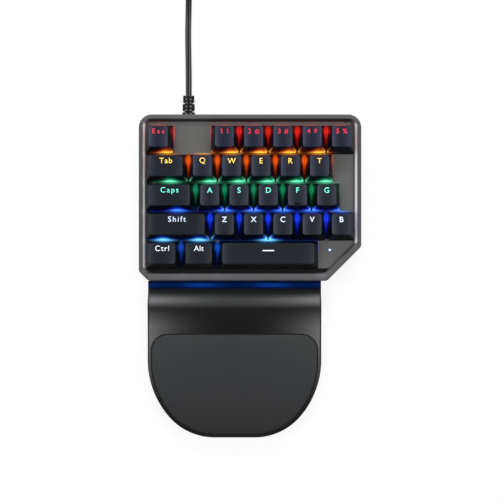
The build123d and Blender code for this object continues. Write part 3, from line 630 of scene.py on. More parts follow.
@dataclass
class Cord:
    """The cord: its free stretch, the put-away coil with its tie, and the short end."""

    diameter: float = 4.2
    turns_in: float = 4.25
    turns_out: float = 4.0
    pitch: float = 4.7
    outer_radius: float = 36.6
    climb_inset: float = 1.1
    centre: tuple[float, float] = (-4.4, 229.0)
    low: float = 2.8
    tie_near: float = 9.35
    tie_far: float = 31.95
    tie_low: float = 0.12
    tie_high: float = 10.15
    tie_shoulder: float = 5.6
    tie_slope: float = 2.1
    tie_bend: float = 1.1
    tie_thickness: float = 0.5
    tie_width: float = 6.0
    tie_crease: float = 40.0
    # Where the two painted highlight lines lie along the cord, how wide they are and where they fade
    # out.
    sheen_x: float = -41.3
    sheen_apart: float = 1.05
    sheen_width: float = 0.42
    sheen_end: float = 190.0
    sheen_fade: float = 20.0
    steps: int = 16
    free_points: tuple = (
        (-41.0, 120.6, 6.1),
        (-41.0, 131.0, 6.1),
        (-41.3, 147.0, 3.2),
        (-41.6, 163.0, 2.15),
        (-41.2, 182.0, 2.15),
        (-41.0, 204.0, 2.8),
        (-41.0, 224.8, 2.8),
    )
    end_points: tuple = (
        (-0.2, 264.425, 7.5),
        (10.0, 264.425, 7.5),
        (20.0, 264.2, 4.8),
        (29.0, 263.8, 4.1),
        (37.0, 263.8, 4.1),
    )

    def coil_points(self) -> list[Point]:
        """The points of the put-away turns, in on the floor and out on top."""
        found = []
        total = self.turns_in + self.turns_out
        inner = self.outer_radius - self.pitch * self.turns_in
        for i in range(int(total * self.steps) + 1):
            turn = i / self.steps
            away = abs(turn - self.turns_in)
            radius = inner + self.pitch * away - self.climb_inset * max(0.0, 1 - 2 * away)
            climb = clamp((turn - self.turns_in) * 2 + 0.5)
            height = self.low + self.pitch * climb * climb * (3 - 2 * climb)
            angle = math.pi - 2 * math.pi * turn
            x = self.centre[0] + radius * math.cos(angle)
            y = self.centre[1] + radius * math.sin(angle)
            found.append((x, y, height))
        return found

    def tie(self) -> bpy.types.Object:
        """The flat band drawn close round the coil's turns."""
        rings: list[Outline] = []
        for inset in (0.0, self.tie_thickness):
            near, far = self.tie_near + inset, self.tie_far - inset
            low, high = self.tie_low + inset, self.tie_high - inset
            bend = self.tie_bend - inset
            corners = (
                (near, low, bend),
                (far, low, bend),
                (far, self.tie_shoulder, bend),
                (far - self.tie_slope, high, bend),
                (near, high, bend),
            )
            rings.append(round_corners(corners, 6))
        front, back = self.centre[1] - self.tie_width / 2, self.centre[1] + self.tie_width / 2
        places = ((rings[0], front), (rings[0], back), (rings[1], back), (rings[1], front))
        points = [(x, y, z) for ring, y in places for x, z in ring]
        around = len(rings[0])
        faces = ring_faces(len(places), around)
        last = (len(places) - 1) * around
        faces += [(last + i, last + (i + 1) % around, (i + 1) % around, i) for i in range(around)]
        made = mesh_piece("coil_tie", points, faces)
        made.data.set_sharp_from_angle(angle=math.radians(self.tie_crease))
        plastic = Moulded("tie_plastic", srgb(28, 28, 30), 0.5).paint()
        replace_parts(finish_piece(made, plastic, "case"), "cable_tie")
        return made

    def jacket(self) -> bpy.types.Material:
        """The cord's glossy black jacket, with two painted highlight lines along its straight stretch
        near the case.
        """
        paint = Paint("cord_jacket")
        fine = paint.noise(900.0, 3.0)
        cloud = paint.noise(70.0, 2.0)
        x, y, _ = paint.axes()
        # Painted highlight: two light lines either side of the cord's middle, fading out away from the
        # case.
        near_case = ((self.sheen_end * MM - y) / (self.sheen_fade * MM)).clamped()
        aside = (x - self.sheen_x * MM).absolute()
        sheen = aside.bell(self.sheen_apart * MM, self.sheen_width * MM) * near_case
        jacket = paint.mix(cloud, srgb(4, 4, 5), srgb(8, 8, 9))
        paint.set(Base_Color=paint.mix(sheen, jacket, srgb(104, 104, 104)))
        paint.set(Roughness=(fine - 0.5) * 0.06 + 0.13)
        paint.set(Specular_IOR_Level=0.26)
        paint.bump(fine, 0.15, 0.00004)
        return paint.material

    def build(self) -> bpy.types.Object:
        points = list(self.free_points) + self.coil_points()[1:] + list(self.end_points)
        data = bpy.data.curves.new("cord", "CURVE")
        data.dimensions = "3D"
        data.resolution_u = 8
        data.bevel_depth = self.diameter / 2 * MM
        data.bevel_resolution = 6
        data.use_fill_caps = True
        spline = data.splines.new("NURBS")
        spline.points.add(len(points) - 1)
        for point, (x, y, z) in zip(spline.points, points):
            point.co = (x * MM, y * MM, z * MM, 1.0)
        spline.order_u = 3
        spline.use_endpoint_u = True
        cord = add_object("cord", data)
        data.materials.append(self.jacket())
        finish_piece(cord, data.materials[0], "case")
        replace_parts(cord, "cable", "cable_coil", "cable_tail")
        self.tie()
        return cord


SPACING = dict.fromkeys("12345", 1.2)
SPACING.update({"esc": 1.6, "tab": 1.17, "caps": 1.26, "shift": 1.29, "ctrl": 1.16, "alt": 1.05})
WORDS = {"esc": "Esc", "tab": "Tab", "caps": "Caps", "shift": "Shift"}
WORDS.update({"ctrl": "Ctrl", "alt": "Alt", "space": "-"})
WORDS.update({"1": "1 !", "2": "2 @", "3": "3 #", "4": "4 $", "5": "5 %"})


@dataclass(frozen=True)
class CapLight:
    """How the lamps light a cap: reaches in millimetres, heights as shares of the cap's, strengths."""

    lamp_reach: float = 3.6
    along_reach: float = 5.5
    along_strength: float = 0.5
    side_depth: float = 0.5
    side_strength: float = 1.3
    hot_depth: float = 0.9
    hot_reach: float = 2.2
    hot_strength: float = 0.36
    back_depth: float = 0.5
    back_reach: float = 5.0
    back_strength: float = 0.16
    back_fade: float = 0.4
    front_depth: float = 0.9
    core_reach: float = 4.6
    core_height: float = 0.07
    core_climb: float = 0.18
    core_strength: float = 1.5
    wide_reach: float = 6.0
    wide_height: float = 0.18
    wide_climb: float = 0.32
    wide_strength: float = 1.05
    ridge_width: float = 0.5
    ridge_height: float = 0.5
    ridge_strength: float = 1.1
    stray: float = 0.3
    stray_in_front_rows: float = 0.08


@dataclass
class Keycaps:
    """The keycaps, with their letters and stems."""

    heights: tuple = (10.6, 9.7, 9.0, 9.0, 9.4)
    tilts: tuple = (7.0, 4.0, 1.0, -2.0, -4.0)
    skirt: float = 20.2
    side_lean: float = 2.9
    back_lean: float = 1.2
    front_lean: float = 3.3
    corner: float = 1.1
    top_corner: float = 1.7
    dish_radius: float = 36.0
    dish_depth: float = 0.5
    edge_round: float = 0.4
    edge_lean: float = 0.6
    lip: float = 0.25
    wall: float = 1.2
    roof: float = 3.2
    straight: int = 18
    around_corner: int = 5
    side_levels: int = 12
    round_levels: int = 4
    top_levels: int = 10
    top_crowding: float = 1.15
    light: CapLight = CapLight()
    # Painted sheen on the tops: its share over the middle, on the space bar, and how much of the side
    # highlight wide keys keep.
    middle_sheen: float = 0.15
    space_sheen: float = 0.21
    wide_key_sheen: float = 0.55
    letter_size: float = 5.0
    sign_share: float = 0.88
    letter_back: float = 3.6
    sign_scale: float = 0.7
    letter_stroke: float = 0.06
    word_stroke: float = 0.025
    usual_spacing: float = 1.12
    letter_gap: float = 0.02
    letter_rise: float = 0.05
    space_mark: tuple = ((-3.75, -1.6), (3.75, -1.6), (3.75, -0.95), (-3.75, -0.95))
    homing_row: int = 2
    homing_from_front: float = 1.15
    homing_size: tuple[float, float] = (3.5, 0.9)
    homing_round: float = 0.35
    homing_levels: tuple = ((0.0, -0.2), (0.0, 0.12), (0.08, 0.22), (0.2, 0.27))
    stem_blocks: tuple = (
        (7.0, 5.3, 16.6, 21.2),
        (8.2, 7.2, 16.6, 19.7),
        (2.4, 2.4, 11.7, 16.6),
        (4.0, 1.2, 21.2, 24.8),
        (1.2, 4.0, 21.2, 24.8),
    )

    @property
    def top_middle(self) -> float:
        """How far behind a key's middle the middle of its top lies."""
        return (self.front_lean - self.back_lean) / 2

    def top_height(self, row: int, extra: float, x: float, y: float) -> float:
        """The height of a cap's dished top.

        Args:
            row: the key's row.
            extra: how much wider than one pitch the key is.
            x: from the key's middle.
            y: from the key's middle.

        Returns:
            The height above the table.
        """
        tilt = math.tan(math.radians(self.tilts[row]))
        across = max(0.0, abs(x) - extra / 2)
        dish = max(0.0, self.dish_depth - across * across / (2 * self.dish_radius))
        return self.skirt + self.heights[row] + (y - self.top_middle) * tilt - dish

    def ring(self, width: float, share: float, inset: float = 0.0) -> Outline:
        """The cap's outline part way up its leaning sides."""
        deep = LAYOUT.pitch - LAYOUT.gap
        wide = width - LAYOUT.gap - 2 * self.side_lean * share - 2 * inset
        long = deep - (self.front_lean + self.back_lean) * share - 2 * inset
        radius = self.corner + (self.top_corner - self.corner) * share
        radius = max(0.3, radius - inset * 0.5)
        outline = rounded_rectangle(wide, long, radius, self.straight, self.around_corner)
        return [(x, y + self.top_middle * share) for x, y in outline]

    def cap(self, name: str, row: int, start: float, end: float) -> bpy.types.Object:
        """Builds one keycap as a closed shell with its glow and its sheen painted on.

        Args:
            name: the key's name.
            row: its row.
            start: the left edge of its place.
            end: the right edge of its place.

        Returns:
            The keycap.
        """
        width = end - start
        extra = width - LAYOUT.pitch
        cx, cy = (start + end) / 2, LAYOUT.row_y(row)
        points: list[Point] = []
        glow: list[Colour] = []
        satin: list[float] = []
        top_share = 1.0 - self.edge_round / self.heights[row]
        edge_share = (1 - top_share) * self.edge_lean

        def top(x: float, y: float) -> float:
            """The height of the dished top over one point."""
            return self.top_height(row, extra, x, y)

        def add(outline: Outline, height: Callable[[float, float], float], lit: bool) -> None:
            """Adds one ring of points with its painted glow and painted sheen."""
            for x, y in outline:
                z = height(x, y)
                points.append((cx + x, cy + y, z))
                glow.append(self.glow(row, cx + x, cy + y, z, cx, width) if lit else NO_LIGHT)
                # The painted sheen fades out down the top's rounded edge.
                near_top = max(0.0, 1.0 - (top(x, y) - z) / self.edge_round)
                satin.append(self.satin(x, width) * near_top)

        def side(share: float, lift: float) -> Callable[[float, float], float]:
            """The height of a ring part way up the side."""
            rise = self.edge_round + self.skirt
            return lambda x, y: self.skirt + (top(x, y) - rise) * share + lift

        add(self.ring(width, 0.0, self.lip), lambda x, y: self.skirt, True)
        for k in range(self.side_levels + 1):
            share = k / self.side_levels
            lift = self.lip if k == 0 else 0.0
            add(self.ring(width, share * top_share), side(share, lift), True)
        for k in range(1, self.round_levels + 1):
            angle = math.pi / 2 * k / self.round_levels
            inset = self.edge_round * (1 - math.cos(angle))
            drop = self.edge_round * (1 - math.sin(angle))
            rounded = self.ring(width, top_share + edge_share * math.sin(angle), inset)
            add(rounded, lambda x, y, d=drop: top(x, y) - d, True)
        edge = self.ring(width, top_share + edge_share, self.edge_round)
        middle_y = self.top_middle
        for k in range(1, self.top_levels):
            share = (1 - k / self.top_levels) ** self.top_crowding
            flat = [(x * share, middle_y + (y - middle_y) * share) for x, y in edge]
            add(flat, top, False)
        around = len(edge)
        rings = len(points) // around
        faces = ring_faces(rings, around)
        points.append((cx, cy + middle_y, top(0.0, middle_y)))
        glow.append(NO_LIGHT)
        satin.append(self.satin(0.0, width))
        centre = len(points) - 1
        last = (rings - 1) * around
        faces += [(last + i, last + (i + 1) % around, centre) for i in range(around)]
        inner = len(points)
        roof = self.heights[row] - self.roof
        hollow = (
            (0.0, self.wall, 0.0),
            (0.5, self.wall * 0.9, roof * 0.5),
            (0.85, self.wall * 0.8, roof),
            (0.95, self.wall * 2.2, roof + 0.2),
        )
        for share, inset, rise in hollow:
            add(self.ring(width, share, inset), lambda x, y, r=rise: self.skirt + r, False)
        faces += ring_faces(len(hollow), around, inner)
        for i in range(around):
            after = (i + 1) % around
            faces.append((i, after, inner + after, inner + i))
        faces.append(tuple(inner + (len(hollow) - 1) * around + i for i in range(around)))
        made = mesh_piece(f"cap_{name}", points, faces)
        store_colours(made, "glow", glow)
        store_colours(made, "satin", [(share, share, share) for share in satin])
        return made

    def satin(self, x: float, width: float) -> float:
        """Painted sheen on the top: a painted highlight, paler towards its raised sides and a little
        more on the left.
        """
        edge = max(0.0, width / 2 - LAYOUT.gap / 2 - self.side_lean - abs(x))
        reach, strength = (2.2, 1.0) if x < 0 else (2.8, 0.72)
        painted_highlight = math.exp(-edge / reach) * strength
        if width >= LAYOUT.pitch * 1.1:
            painted_highlight *= self.wide_key_sheen
        flat = self.space_sheen if width > 3 * LAYOUT.pitch else self.middle_sheen
        return flat + (1.0 - flat) * painted_highlight

    def glow(self, row: int, x: float, y: float, z: float, cx: float, width: float) -> Colour:
        """How the lamps light one point of a cap's sides.

        Args:
            row: the cap's row.
            x: the point, across the keypad.
            y: the point, along the keypad.
            z: the point's height.
            cx: the cap's middle.
            width: the cap's place along the row.

        Returns:
            The light's colour there.
        """
        rise = clamp((z - self.skirt) / self.heights[row])
        across = width / 2 - abs(x - cx)
        half = (LAYOUT.pitch - LAYOUT.gap) / 2
        ahead = y - LAYOUT.row_y(row)
        own, fall = ROW_LIGHTS[row], self.light
        from_lamp = ahead - LAYOUT.lamp_ahead
        opening = self._open(row, cx, width, 1 if x > cx else -1)
        near_lamp = bell(from_lamp, fall.lamp_reach)
        along = near_lamp + fall.along_strength * bell(ahead + 1.0, fall.along_reach)
        side = bell(across, fall.side_depth + near_lamp) * along * opening * own.between
        hot = bell(across, fall.hot_depth) * bell(from_lamp, fall.hot_reach) * opening * own.between
        back = bell(ahead - half + self.back_lean * rise, fall.back_depth)
        back *= self._lamp_near(row, x, fall.back_reach) * (1 - fall.back_fade * rise)
        lit = with_light(NO_LIGHT, own.glow, side * fall.side_strength + back * fall.back_strength)
        lit = with_light(lit, own.core, hot * fall.hot_strength)
        if row + 1 == len(ROW_LIGHTS) or ahead >= -half * 0.4:
            return lit
        next_row = ROW_LIGHTS[row + 1]
        front = bell(-ahead - half + self.front_lean * rise, fall.front_depth)
        near = self._lamp_near(row + 1, x, fall.core_reach)
        around = self._lamp_near(row + 1, x, fall.wide_reach)
        core = front * near * bell(rise, fall.core_height + fall.core_climb * near)
        wide = front * around * bell(rise, fall.wide_height + fall.wide_climb * near)
        from_side = across - LAYOUT.gap / 2 - self.side_lean * rise
        ridge = front * bell(from_side, fall.ridge_width) * bell(rise, fall.ridge_height) * opening
        ridge *= max(around, self._gap_near(row + 1, x, fall.wide_reach))
        hottest = core * fall.core_strength + ridge * fall.ridge_strength
        lit = with_light(lit, next_row.core, hottest)
        return with_light(lit, next_row.glow, wide * fall.wide_strength + ridge)

    def _lamp_near(self, row: int, x: float, spread: float) -> float:
        """How near a row's lamps a place along x is."""
        return max(bell(x - lamp, spread) for lamp in LAYOUT.lamps(row))

    def _gap_near(self, row: int, x: float, spread: float) -> float:
        """How near a gap between a row's keys a place along x is."""
        return max(bell(x - start, spread) for _, start, _ in LAYOUT.spans(row)[1:])

    def _open(self, row: int, cx: float, width: float, side: int) -> float:
        """How much light fills the gap beside a key."""
        edge = cx + side * width / 2
        for _, start, end in LAYOUT.spans(row):
            if abs((start if side > 0 else end) - edge) < 0.1:
                return 1.0
        if abs(edge) >= -LAYOUT.left - 0.1:
            return 0.0
        return self.light.stray if row < 3 else self.light.stray_in_front_rows

    def cap_finish(self, row: int) -> bpy.types.Material:
        """The caps' half-matte black plastic, with a painted highlight towards the top's sides and the
        lamps' light from below painted on as glow.
        """
        paint = Paint(f"cap_plastic_row_{row + 1}")
        fine = paint.noise(2600.0, 3.0)
        cloud = paint.noise(90.0, 2.0)
        cool = max(0.0, 1 - row / 3)
        dark = srgb(12, 15 + 2 * cool, 18 + 12 * cool)
        # The paler colour is a painted highlight, mixed in by the painted sheen.
        highlight_colour = srgb(76 + 4 * cool, 82 + 6 * cool, 92 + 18 * cool)
        sheen = Num(paint, paint.attribute("satin")) * (1.0 + (cloud + fine - 1.0) * 0.3)
        paint.set(Base_Color=paint.mix(sheen, dark, highlight_colour))
        paint.set(Roughness=(fine - 0.5) * 0.12 + 0.36)
        paint.set(Specular_IOR_Level=0.05)
        paint.set(Emission_Color=paint.attribute("glow"), Emission_Strength=1.0)
        paint.bump(fine, 0.2, 0.00003)
        return paint.material

    def bar_finish(self) -> bpy.types.Material:
        """The homing bar's plastic, worn a little shinier than the cap."""
        return Moulded("bar_plastic", srgb(5, 5, 6), 0.45, Texture.SATIN, 0.0, 0.15, 0.05).paint()

    def letter_finish(self, row: int) -> bpy.types.Material:
        """The lit letters of one row, a little uneven as the lamp behind is."""
        paint = Paint(f"letters_row_{row + 1}")
        cloud = paint.noise(160.0, 1.0)
        light = ROW_LIGHTS[row]
        dim = tuple(v * 0.72 for v in light.letters)
        colour = paint.mix(cloud, dim, light.letters)
        paint.set(Base_Color=colour, Roughness=0.5)
        paint.set(Emission_Color=colour, Emission_Strength=0.8)
        return paint.material

    def letters(self, name: str, text: str, row: int, start: float, end: float) -> bpy.types.Object:
        """The lettering of a key, laid on its dished top.

        Args:
            name: the key's name.
            text: what the key says, or a dash for a bar.
            row: the key's row.
            start: the left edge of its place.
            end: the right edge of its place.

        Returns:
            The lettering.
        """
        cx, cy = (start + end) / 2, LAYOUT.row_y(row)
        top_back = (LAYOUT.pitch - LAYOUT.gap) / 2 - self.back_lean
        data = bpy.data.curves.new(f"letters_{name}", "FONT")
        data.body = text
        data.align_x = "CENTER"
        data.align_y = "CENTER"
        data.size = self.letter_size * (self.sign_share if row == 0 else 1.0)
        data.offset = self.word_stroke if row > 0 and len(text) > 1 else self.letter_stroke
        data.space_character = SPACING.get(name, self.usual_spacing)
        data.extrude = 0.0
        shape = add_object("letters_shape", data)
        bpy.context.view_layer.update()
        graph = bpy.context.evaluated_depsgraph_get()
        mesh = bpy.data.meshes.new_from_object(shape.evaluated_get(graph))
        bpy.data.objects.remove(shape)
        if text == "-":
            mesh.clear_geometry()
            mesh.from_pydata([(x, y, 0.0) for x, y in self.space_mark], [], [(0, 1, 2, 3)])
        work = bmesh.new()
        work.from_mesh(mesh)
        bmesh.ops.remove_doubles(work, verts=work.verts, dist=0.002)
        if "@" in text:
            self.shrink_sign(work)
        if "1" in text:
            self.flag_one(work)
        heights = [vertex.co.y for vertex in work.verts]
        centre = (min(heights) + max(heights)) / 2 if text.isupper() else 0.0
        long_edges = [edge for edge in work.edges if edge.calc_length() > 1.0]
        bmesh.ops.subdivide_edges(work, edges=long_edges, cuts=2)
        extra = end - start - LAYOUT.pitch
        for vertex in work.verts:
            x = vertex.co.x
            y = top_back - self.letter_back + vertex.co.y - centre
            z = self.top_height(row, extra, x, y) + self.letter_gap
            vertex.co = ((cx + x) * MM, (cy + y) * MM, z * MM)
        solid = bmesh.ops.extrude_face_region(work, geom=list(work.faces))
        raised = [part for part in solid["geom"] if isinstance(part, bmesh.types.BMVert)]
        bmesh.ops.translate(work, verts=raised, vec=(0.0, 0.0, self.letter_rise * MM))
        bmesh.ops.recalc_face_normals(work, faces=work.faces)
        work.to_mesh(mesh)
        work.free()
        mesh.name = f"letters_{name}"
        return add_object(f"letters_{name}", mesh)

    def shrink_sign(self, work: bmesh.types.BMesh) -> None:
        """Draws the wide sign after a digit as small as the signs on the keys beside it."""
        places = sorted(vertex.co.x for vertex in work.verts)
        _, start = max((after - before, after) for before, after in zip(places, places[1:]))
        sign = [vertex for vertex in work.verts if vertex.co.x >= start]
        saved = (places[-1] - start) * (1 - self.sign_scale)
        middle = (min(v.co.y for v in sign) + max(v.co.y for v in sign)) / 2
        for vertex in sign:
            vertex.co.x = start + (vertex.co.x - start) * self.sign_scale
            vertex.co.y = middle + (vertex.co.y - middle) * self.sign_scale
        for vertex in work.verts:
            vertex.co.x += saved / 2

    def flag_one(self, work: bmesh.types.BMesh) -> None:
        """Gives the plain bar that the typeface has for a 1 its flag."""
        places = sorted(vertex.co.x for vertex in work.verts)
        _, end = max((after - before, before) for before, after in zip(places, places[1:]))
        bar = [vertex for vertex in work.verts if vertex.co.x <= end]
        left, right = min(v.co.x for v in bar), max(v.co.x for v in bar)
        foot, head = min(v.co.y for v in bar), max(v.co.y for v in bar)
        bmesh.ops.delete(work, geom=bar, context="VERTS")
        stroke = right - left
        tip = left - 0.95 * stroke
        outline = (
            (left, foot),
            (right, foot),
            (right, head),
            (left + 0.2 * stroke, head),
            (tip, head - 0.8 * stroke),
            (tip, head - 1.7 * stroke),
            (left, head - 1.1 * stroke),
        )
        work.faces.new([work.verts.new((x, y, 0.0)) for x, y in outline])

    def stem(
        self,
        name: str,
        x: float,
        y: float,
        material: bpy.types.Material,
        body: str,
    ) -> None:
        """The stem under a cap: block, skirt, pin and cross."""
        points: list[Point] = []
        faces: list[tuple[int, ...]] = []
        for wide, deep, low, high in self.stem_blocks:
            outline = rounded_rectangle(wide, deep, min(wide, deep) * 0.2, 1, 3)
            first = len(points)
            for level in (low, high):
                points += [(x + px, y + py, level) for px, py in outline]
            around = len(outline)
            faces += ring_faces(2, around, first)
            faces.append(tuple(range(first, first + around)))
            faces.append(tuple(range(first + around, first + 2 * around)))
        made = mesh_piece(f"stem_{name}", points, faces, smooth=False)
        finish_piece(made, material, body)

    def homing_bar(self, material: bpy.types.Material) -> None:
        """The small raised bar that marks the key under the first finger."""
        row = self.homing_row
        start, end = next((a, b) for name, a, b in LAYOUT.spans(row) if name == "f")
        cx, cy = (start + end) / 2, LAYOUT.row_y(row)
        top_depth = LAYOUT.pitch - LAYOUT.gap - self.front_lean - self.back_lean
        front = self.top_middle - top_depth / 2 + self.homing_from_front
        points: list[Point] = []
        outline = rounded_rectangle(*self.homing_size, self.homing_round, 1, 4)
        for inset, rise in self.homing_levels:
            share = 1 - inset / self.homing_round
            for px, py in outline:
                x, y = px - math.copysign(inset, px), front + py * share
                points.append((cx + x, cy + y, self.top_height(row, 0.0, px, front) + rise))
        around, levels = len(outline), len(self.homing_levels)
        faces = ring_faces(levels, around)
        faces.append(tuple(range((levels - 1) * around, levels * around)))
        faces.append(tuple(range(around)))
        finish_piece(mesh_piece("homing_bar", points, faces), material, "key_f_body")

    def build(self) -> None:
        """Makes every key."""
        stem = Moulded("stem_plastic", srgb(48, 92, 150), 0.4, Texture.SATIN).paint()
        for row in range(LAYOUT.row_count):
            plastic, lit = self.cap_finish(row), self.letter_finish(row)
            for name, start, end in LAYOUT.spans(row):
                body = f"key_{name}_body"
                cap = finish_piece(self.cap(name, row, start, end), plastic, body)
                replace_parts(cap, f"key_{name}")
                letters = self.letters(name, WORDS.get(name, name.upper()), row, start, end)
                finish_piece(letters, lit, body)
                self.stem(name, (start + end) / 2, LAYOUT.row_y(row), stem, body)
        self.homing_bar(self.bar_finish())


@dataclass
class Case:
    """The case round the keys: rim, plate, tray and what shows inside."""

    width: float = 147.0
    depth: float = 110.0
    back: float = 107.2
    corner: float = 8.6
    front_corner: float = 4.0
    right_chamfer: float = 22.6
    left_chamfer: float = 6.3
    seam: float = 9.0
    plate_top: float = 14.6
    rim_top: float = 18.5
    rim_crease: float = 28.0
    around_corner: int = 10
    lamp_reach: float = 5.0
    row_reach: float = 5.5
    light_end: float = 9.0
    light_fade: float = 1.6
    line_reach: float = 0.8
    # How far the painted shade before the front row reaches back, and where it ends along x.
    front_shade_reach: float = 5.5
    front_shade_end: float = 54.0

    def ring(self, side: float, back: float, front: float) -> Outline:
        """The case's outline drawn in at its sides, back and front."""
        mean = (side + front) / 2
        slant = mean * (2 - math.sqrt(2))
        left, right = -self.width / 2 + side, self.width / 2 - side
        top, bottom = self.back - back, self.back - self.depth + front
        big = self.right_chamfer - slant
        small = self.left_chamfer - slant
        round_back = max(self.corner - mean, self.front_corner)
        round_front = self.front_corner
        corners = (
            (left, top, round_back),
            (left, bottom + small, round_front),
            (left + small, bottom, round_front),
            (right - big, bottom, round_front),
            (right, bottom + big, round_front),
            (right, top, round_back),
        )
        return round_corners(corners, self.around_corner)

    def rim(self) -> bpy.types.Object:
        """The top frame: outer wall, rounded edge, land and sloped inner wall."""
        levels = (
            (0.0, 0.0, 0.0, self.seam + 0.15),
            (0.0, 0.0, 0.0, self.rim_top - 1.9),
            (0.1, 0.1, 0.1, self.rim_top - 1.1),
            (0.4, 0.4, 0.4, self.rim_top - 0.45),
            (0.9, 0.9, 0.9, self.rim_top - 0.12),
            (1.5, 1.5, 1.6, self.rim_top),
            (2.7, 2.95, 4.5, self.rim_top),
            (2.85, 3.1, 4.65, self.rim_top - 0.06),
            (4.3, 4.4, 5.2, self.rim_top - 1.1),
            (4.36, 4.5, 5.3, self.rim_top - 1.3),
            (4.4, 4.8, 5.4, self.plate_top + 0.3),
            (4.4, 4.8, 5.4, self.plate_top + 0.02),
            (2.05, 2.05, 2.05, self.plate_top + 0.02),
            (2.05, 2.05, 2.05, self.seam + 0.15),
        )
        points: list[Point] = []
        for side, back, front, z in levels:
            points += [(x, y, z) for x, y in self.ring(side, back, front)]
        around = len(points) // len(levels)
        faces = ring_faces(len(levels), around)
        last = (len(levels) - 1) * around
        faces += [(i, (i + 1) % around, last + (i + 1) % around, last + i) for i in range(around)]
        made = mesh_piece("top_rim", points, faces)
        made.data.set_sharp_from_angle(angle=math.radians(self.rim_crease))
        # Each point keeps its grey with the light and shade painted into it.
        spots = [(k, i) for k in range(len(levels)) for i in range(around)]
        store_colours(made, "rim_painted_shading", [self.rim_painted_shading(points, around, k, i) for k, i in spots])
        return made

    def rim_painted_shading(self, points: Sequence[Point], around: int, level: int, i: int) -> Colour:
        """The grey of one point of the rim, with painted light and shade.

        Args:
            points: the rim's points, level by level.
            around: how many points a level has.
            level: the point's level, from the outer wall to the inner one.
            i: the point's place round the level.

        Returns:
            The land's grey, painted darker along the sides and in bands at the front as shade, and on
            the inner slope a painted highlight at the sides and a painted dark reflection behind.
        """
        before = points[level * around + (i - 1) % around]
        after = points[level * around + (i + 1) % around]
        run = math.dist(before[:2], after[:2])
        along_side = clamp(abs(before[1] - after[1]) / run * 5 - 4)
        across = clamp(abs(before[0] - after[0]) / run * 5 - 4)
        at_back = across if before[1] > 0.6 * self.back else 0.0
        at_front = across if before[1] < 3.0 else 0.0
        # Painted shade: the land darker along the sides, and at the front painted darker on the
        # rounded edge and lighter where the land ends.
        front_shading = {2: srgb(58, 58, 61), 3: srgb(70, 70, 73), 6: srgb(122, 120, 122)}
        land = blend(srgb(95, 95, 97), srgb(80, 80, 82), along_side)
        land = blend(land, front_shading.get(level, srgb(104, 104, 107)), at_front)
        if level not in (7, 8):
            return land
        # On the inner slope: a painted highlight at the sides, a painted dark reflection behind.
        bright, painted_dark = srgb(240, 238, 238), srgb(18, 34, 37)
        return blend(blend(land, bright, along_side), painted_dark, at_back)

    def rim_finish(self) -> bpy.types.Material:
        """The rim's grey metal paint, with painted highlights and shade from each point's stored grey.
        """
        metal = Metal("rim_gunmetal", srgb(84, 85, 88), 0.5, 0.12, (1, 1, 1), 0.08).start()
        cloud = metal.noise(30.0, 2.0)
        shading = metal.attribute("rim_painted_shading")
        metal.set(Base_Color=metal.mix(cloud * 0.2, shading, (0.02, 0.02, 0.022)))
        metal.set(Specular_IOR_Level=0.25)
        return metal.material

    def glow_on(self, paint: Paint, strength: float, spread: float) -> bpy.types.NodeSocket:
        """The lamps' light on a flat piece, row by row.

        Args:
            paint: the material in the making.
            strength: how bright the light is.
            spread: how far it reaches out from under a row's ends.

        Returns:
            The light's colour.
        """
        x, y, _ = paint.axes()
        total = NO_LIGHT
        for row, light in enumerate(ROW_LIGHTS):
            middle = LAYOUT.row_y(row)
            reach = None
            for block in LAYOUT.blocks(row):
                start, end = block[0][1], block[-1][2]
                left = x / (spread * MM) + (1.0 - (start + self.shade(start)) / spread)
                right = x / (-spread * MM) + (1.0 + (end - self.shade(-end)) / spread)
                fade = left.clamped() * right.clamped()
                reach = fade if reach is None else reach + fade
            lamps = None
            for lamp in LAYOUT.lamps(row):
                near = x.bell(lamp * MM, self.lamp_reach * MM)
                lamps = near if lamps is None else lamps + near
            inside = y.bell((middle + LAYOUT.lamp_ahead) * MM, self.row_reach * MM)
            edge = (middle + self.light_end) * MM
            behind = 1.0 - ((y - edge) / (self.light_fade * MM)).clamped()
            uneven = lamps * 0.7 + y.below(edge) * 0.7 + 0.3
            mask = reach * reach * inside * behind * uneven * strength
            total = paint.mix(mask * light.on_plate, total, light.glow, "ADD")
            line = y.bell((middle + LAYOUT.pitch / 2) * MM, self.line_reach * MM) * lamps
            hot = (line * (strength * light.behind)).clamped()
            total = paint.mix(hot, total, light.core, "ADD")
        return total

    def shade(self, edge: float) -> float:
        """How far in a row's light stops at its end: a key that stands at the rim lets none out."""
        return 3.0 if edge < LAYOUT.left + 0.1 else LAYOUT.gap / 2

    def plate_finish(self) -> bpy.types.Material:
        """The plate's grey, half-matte brushed metal, with the lamps' light painted in the gaps and
        painted shade under and in front of the keys.
        """
        metal = Metal("plate_steel", srgb(84, 86, 86), 0.5, 0.4, (1, 12, 1), 0.12).start()
        metal.set(Emission_Color=self.glow_on(metal, 1.3, 1.5), Emission_Strength=1.0)
        cloud = metal.noise(45.0, 2.0)
        open_steel = metal.mix(cloud, srgb(92, 93, 92), srgb(102, 103, 102))
        # Painted shade: near black under the keys and before the front row.
        metal.set(Base_Color=metal.mix(self.shade_under_keys(metal), open_steel, srgb(12, 12, 13)))
        metal.set(Specular_IOR_Level=0.15)
        return metal.material

    def plate_screw_finish(self) -> bpy.types.Material:
        """The plate screws' grey steel, lit as the plate round them is."""
        metal = Metal("plate_screw_steel", srgb(72, 72, 74), 0.4).start()
        metal.set(Emission_Color=self.glow_on(metal, 1.0, 1.5), Emission_Strength=1.0)
        return metal.material

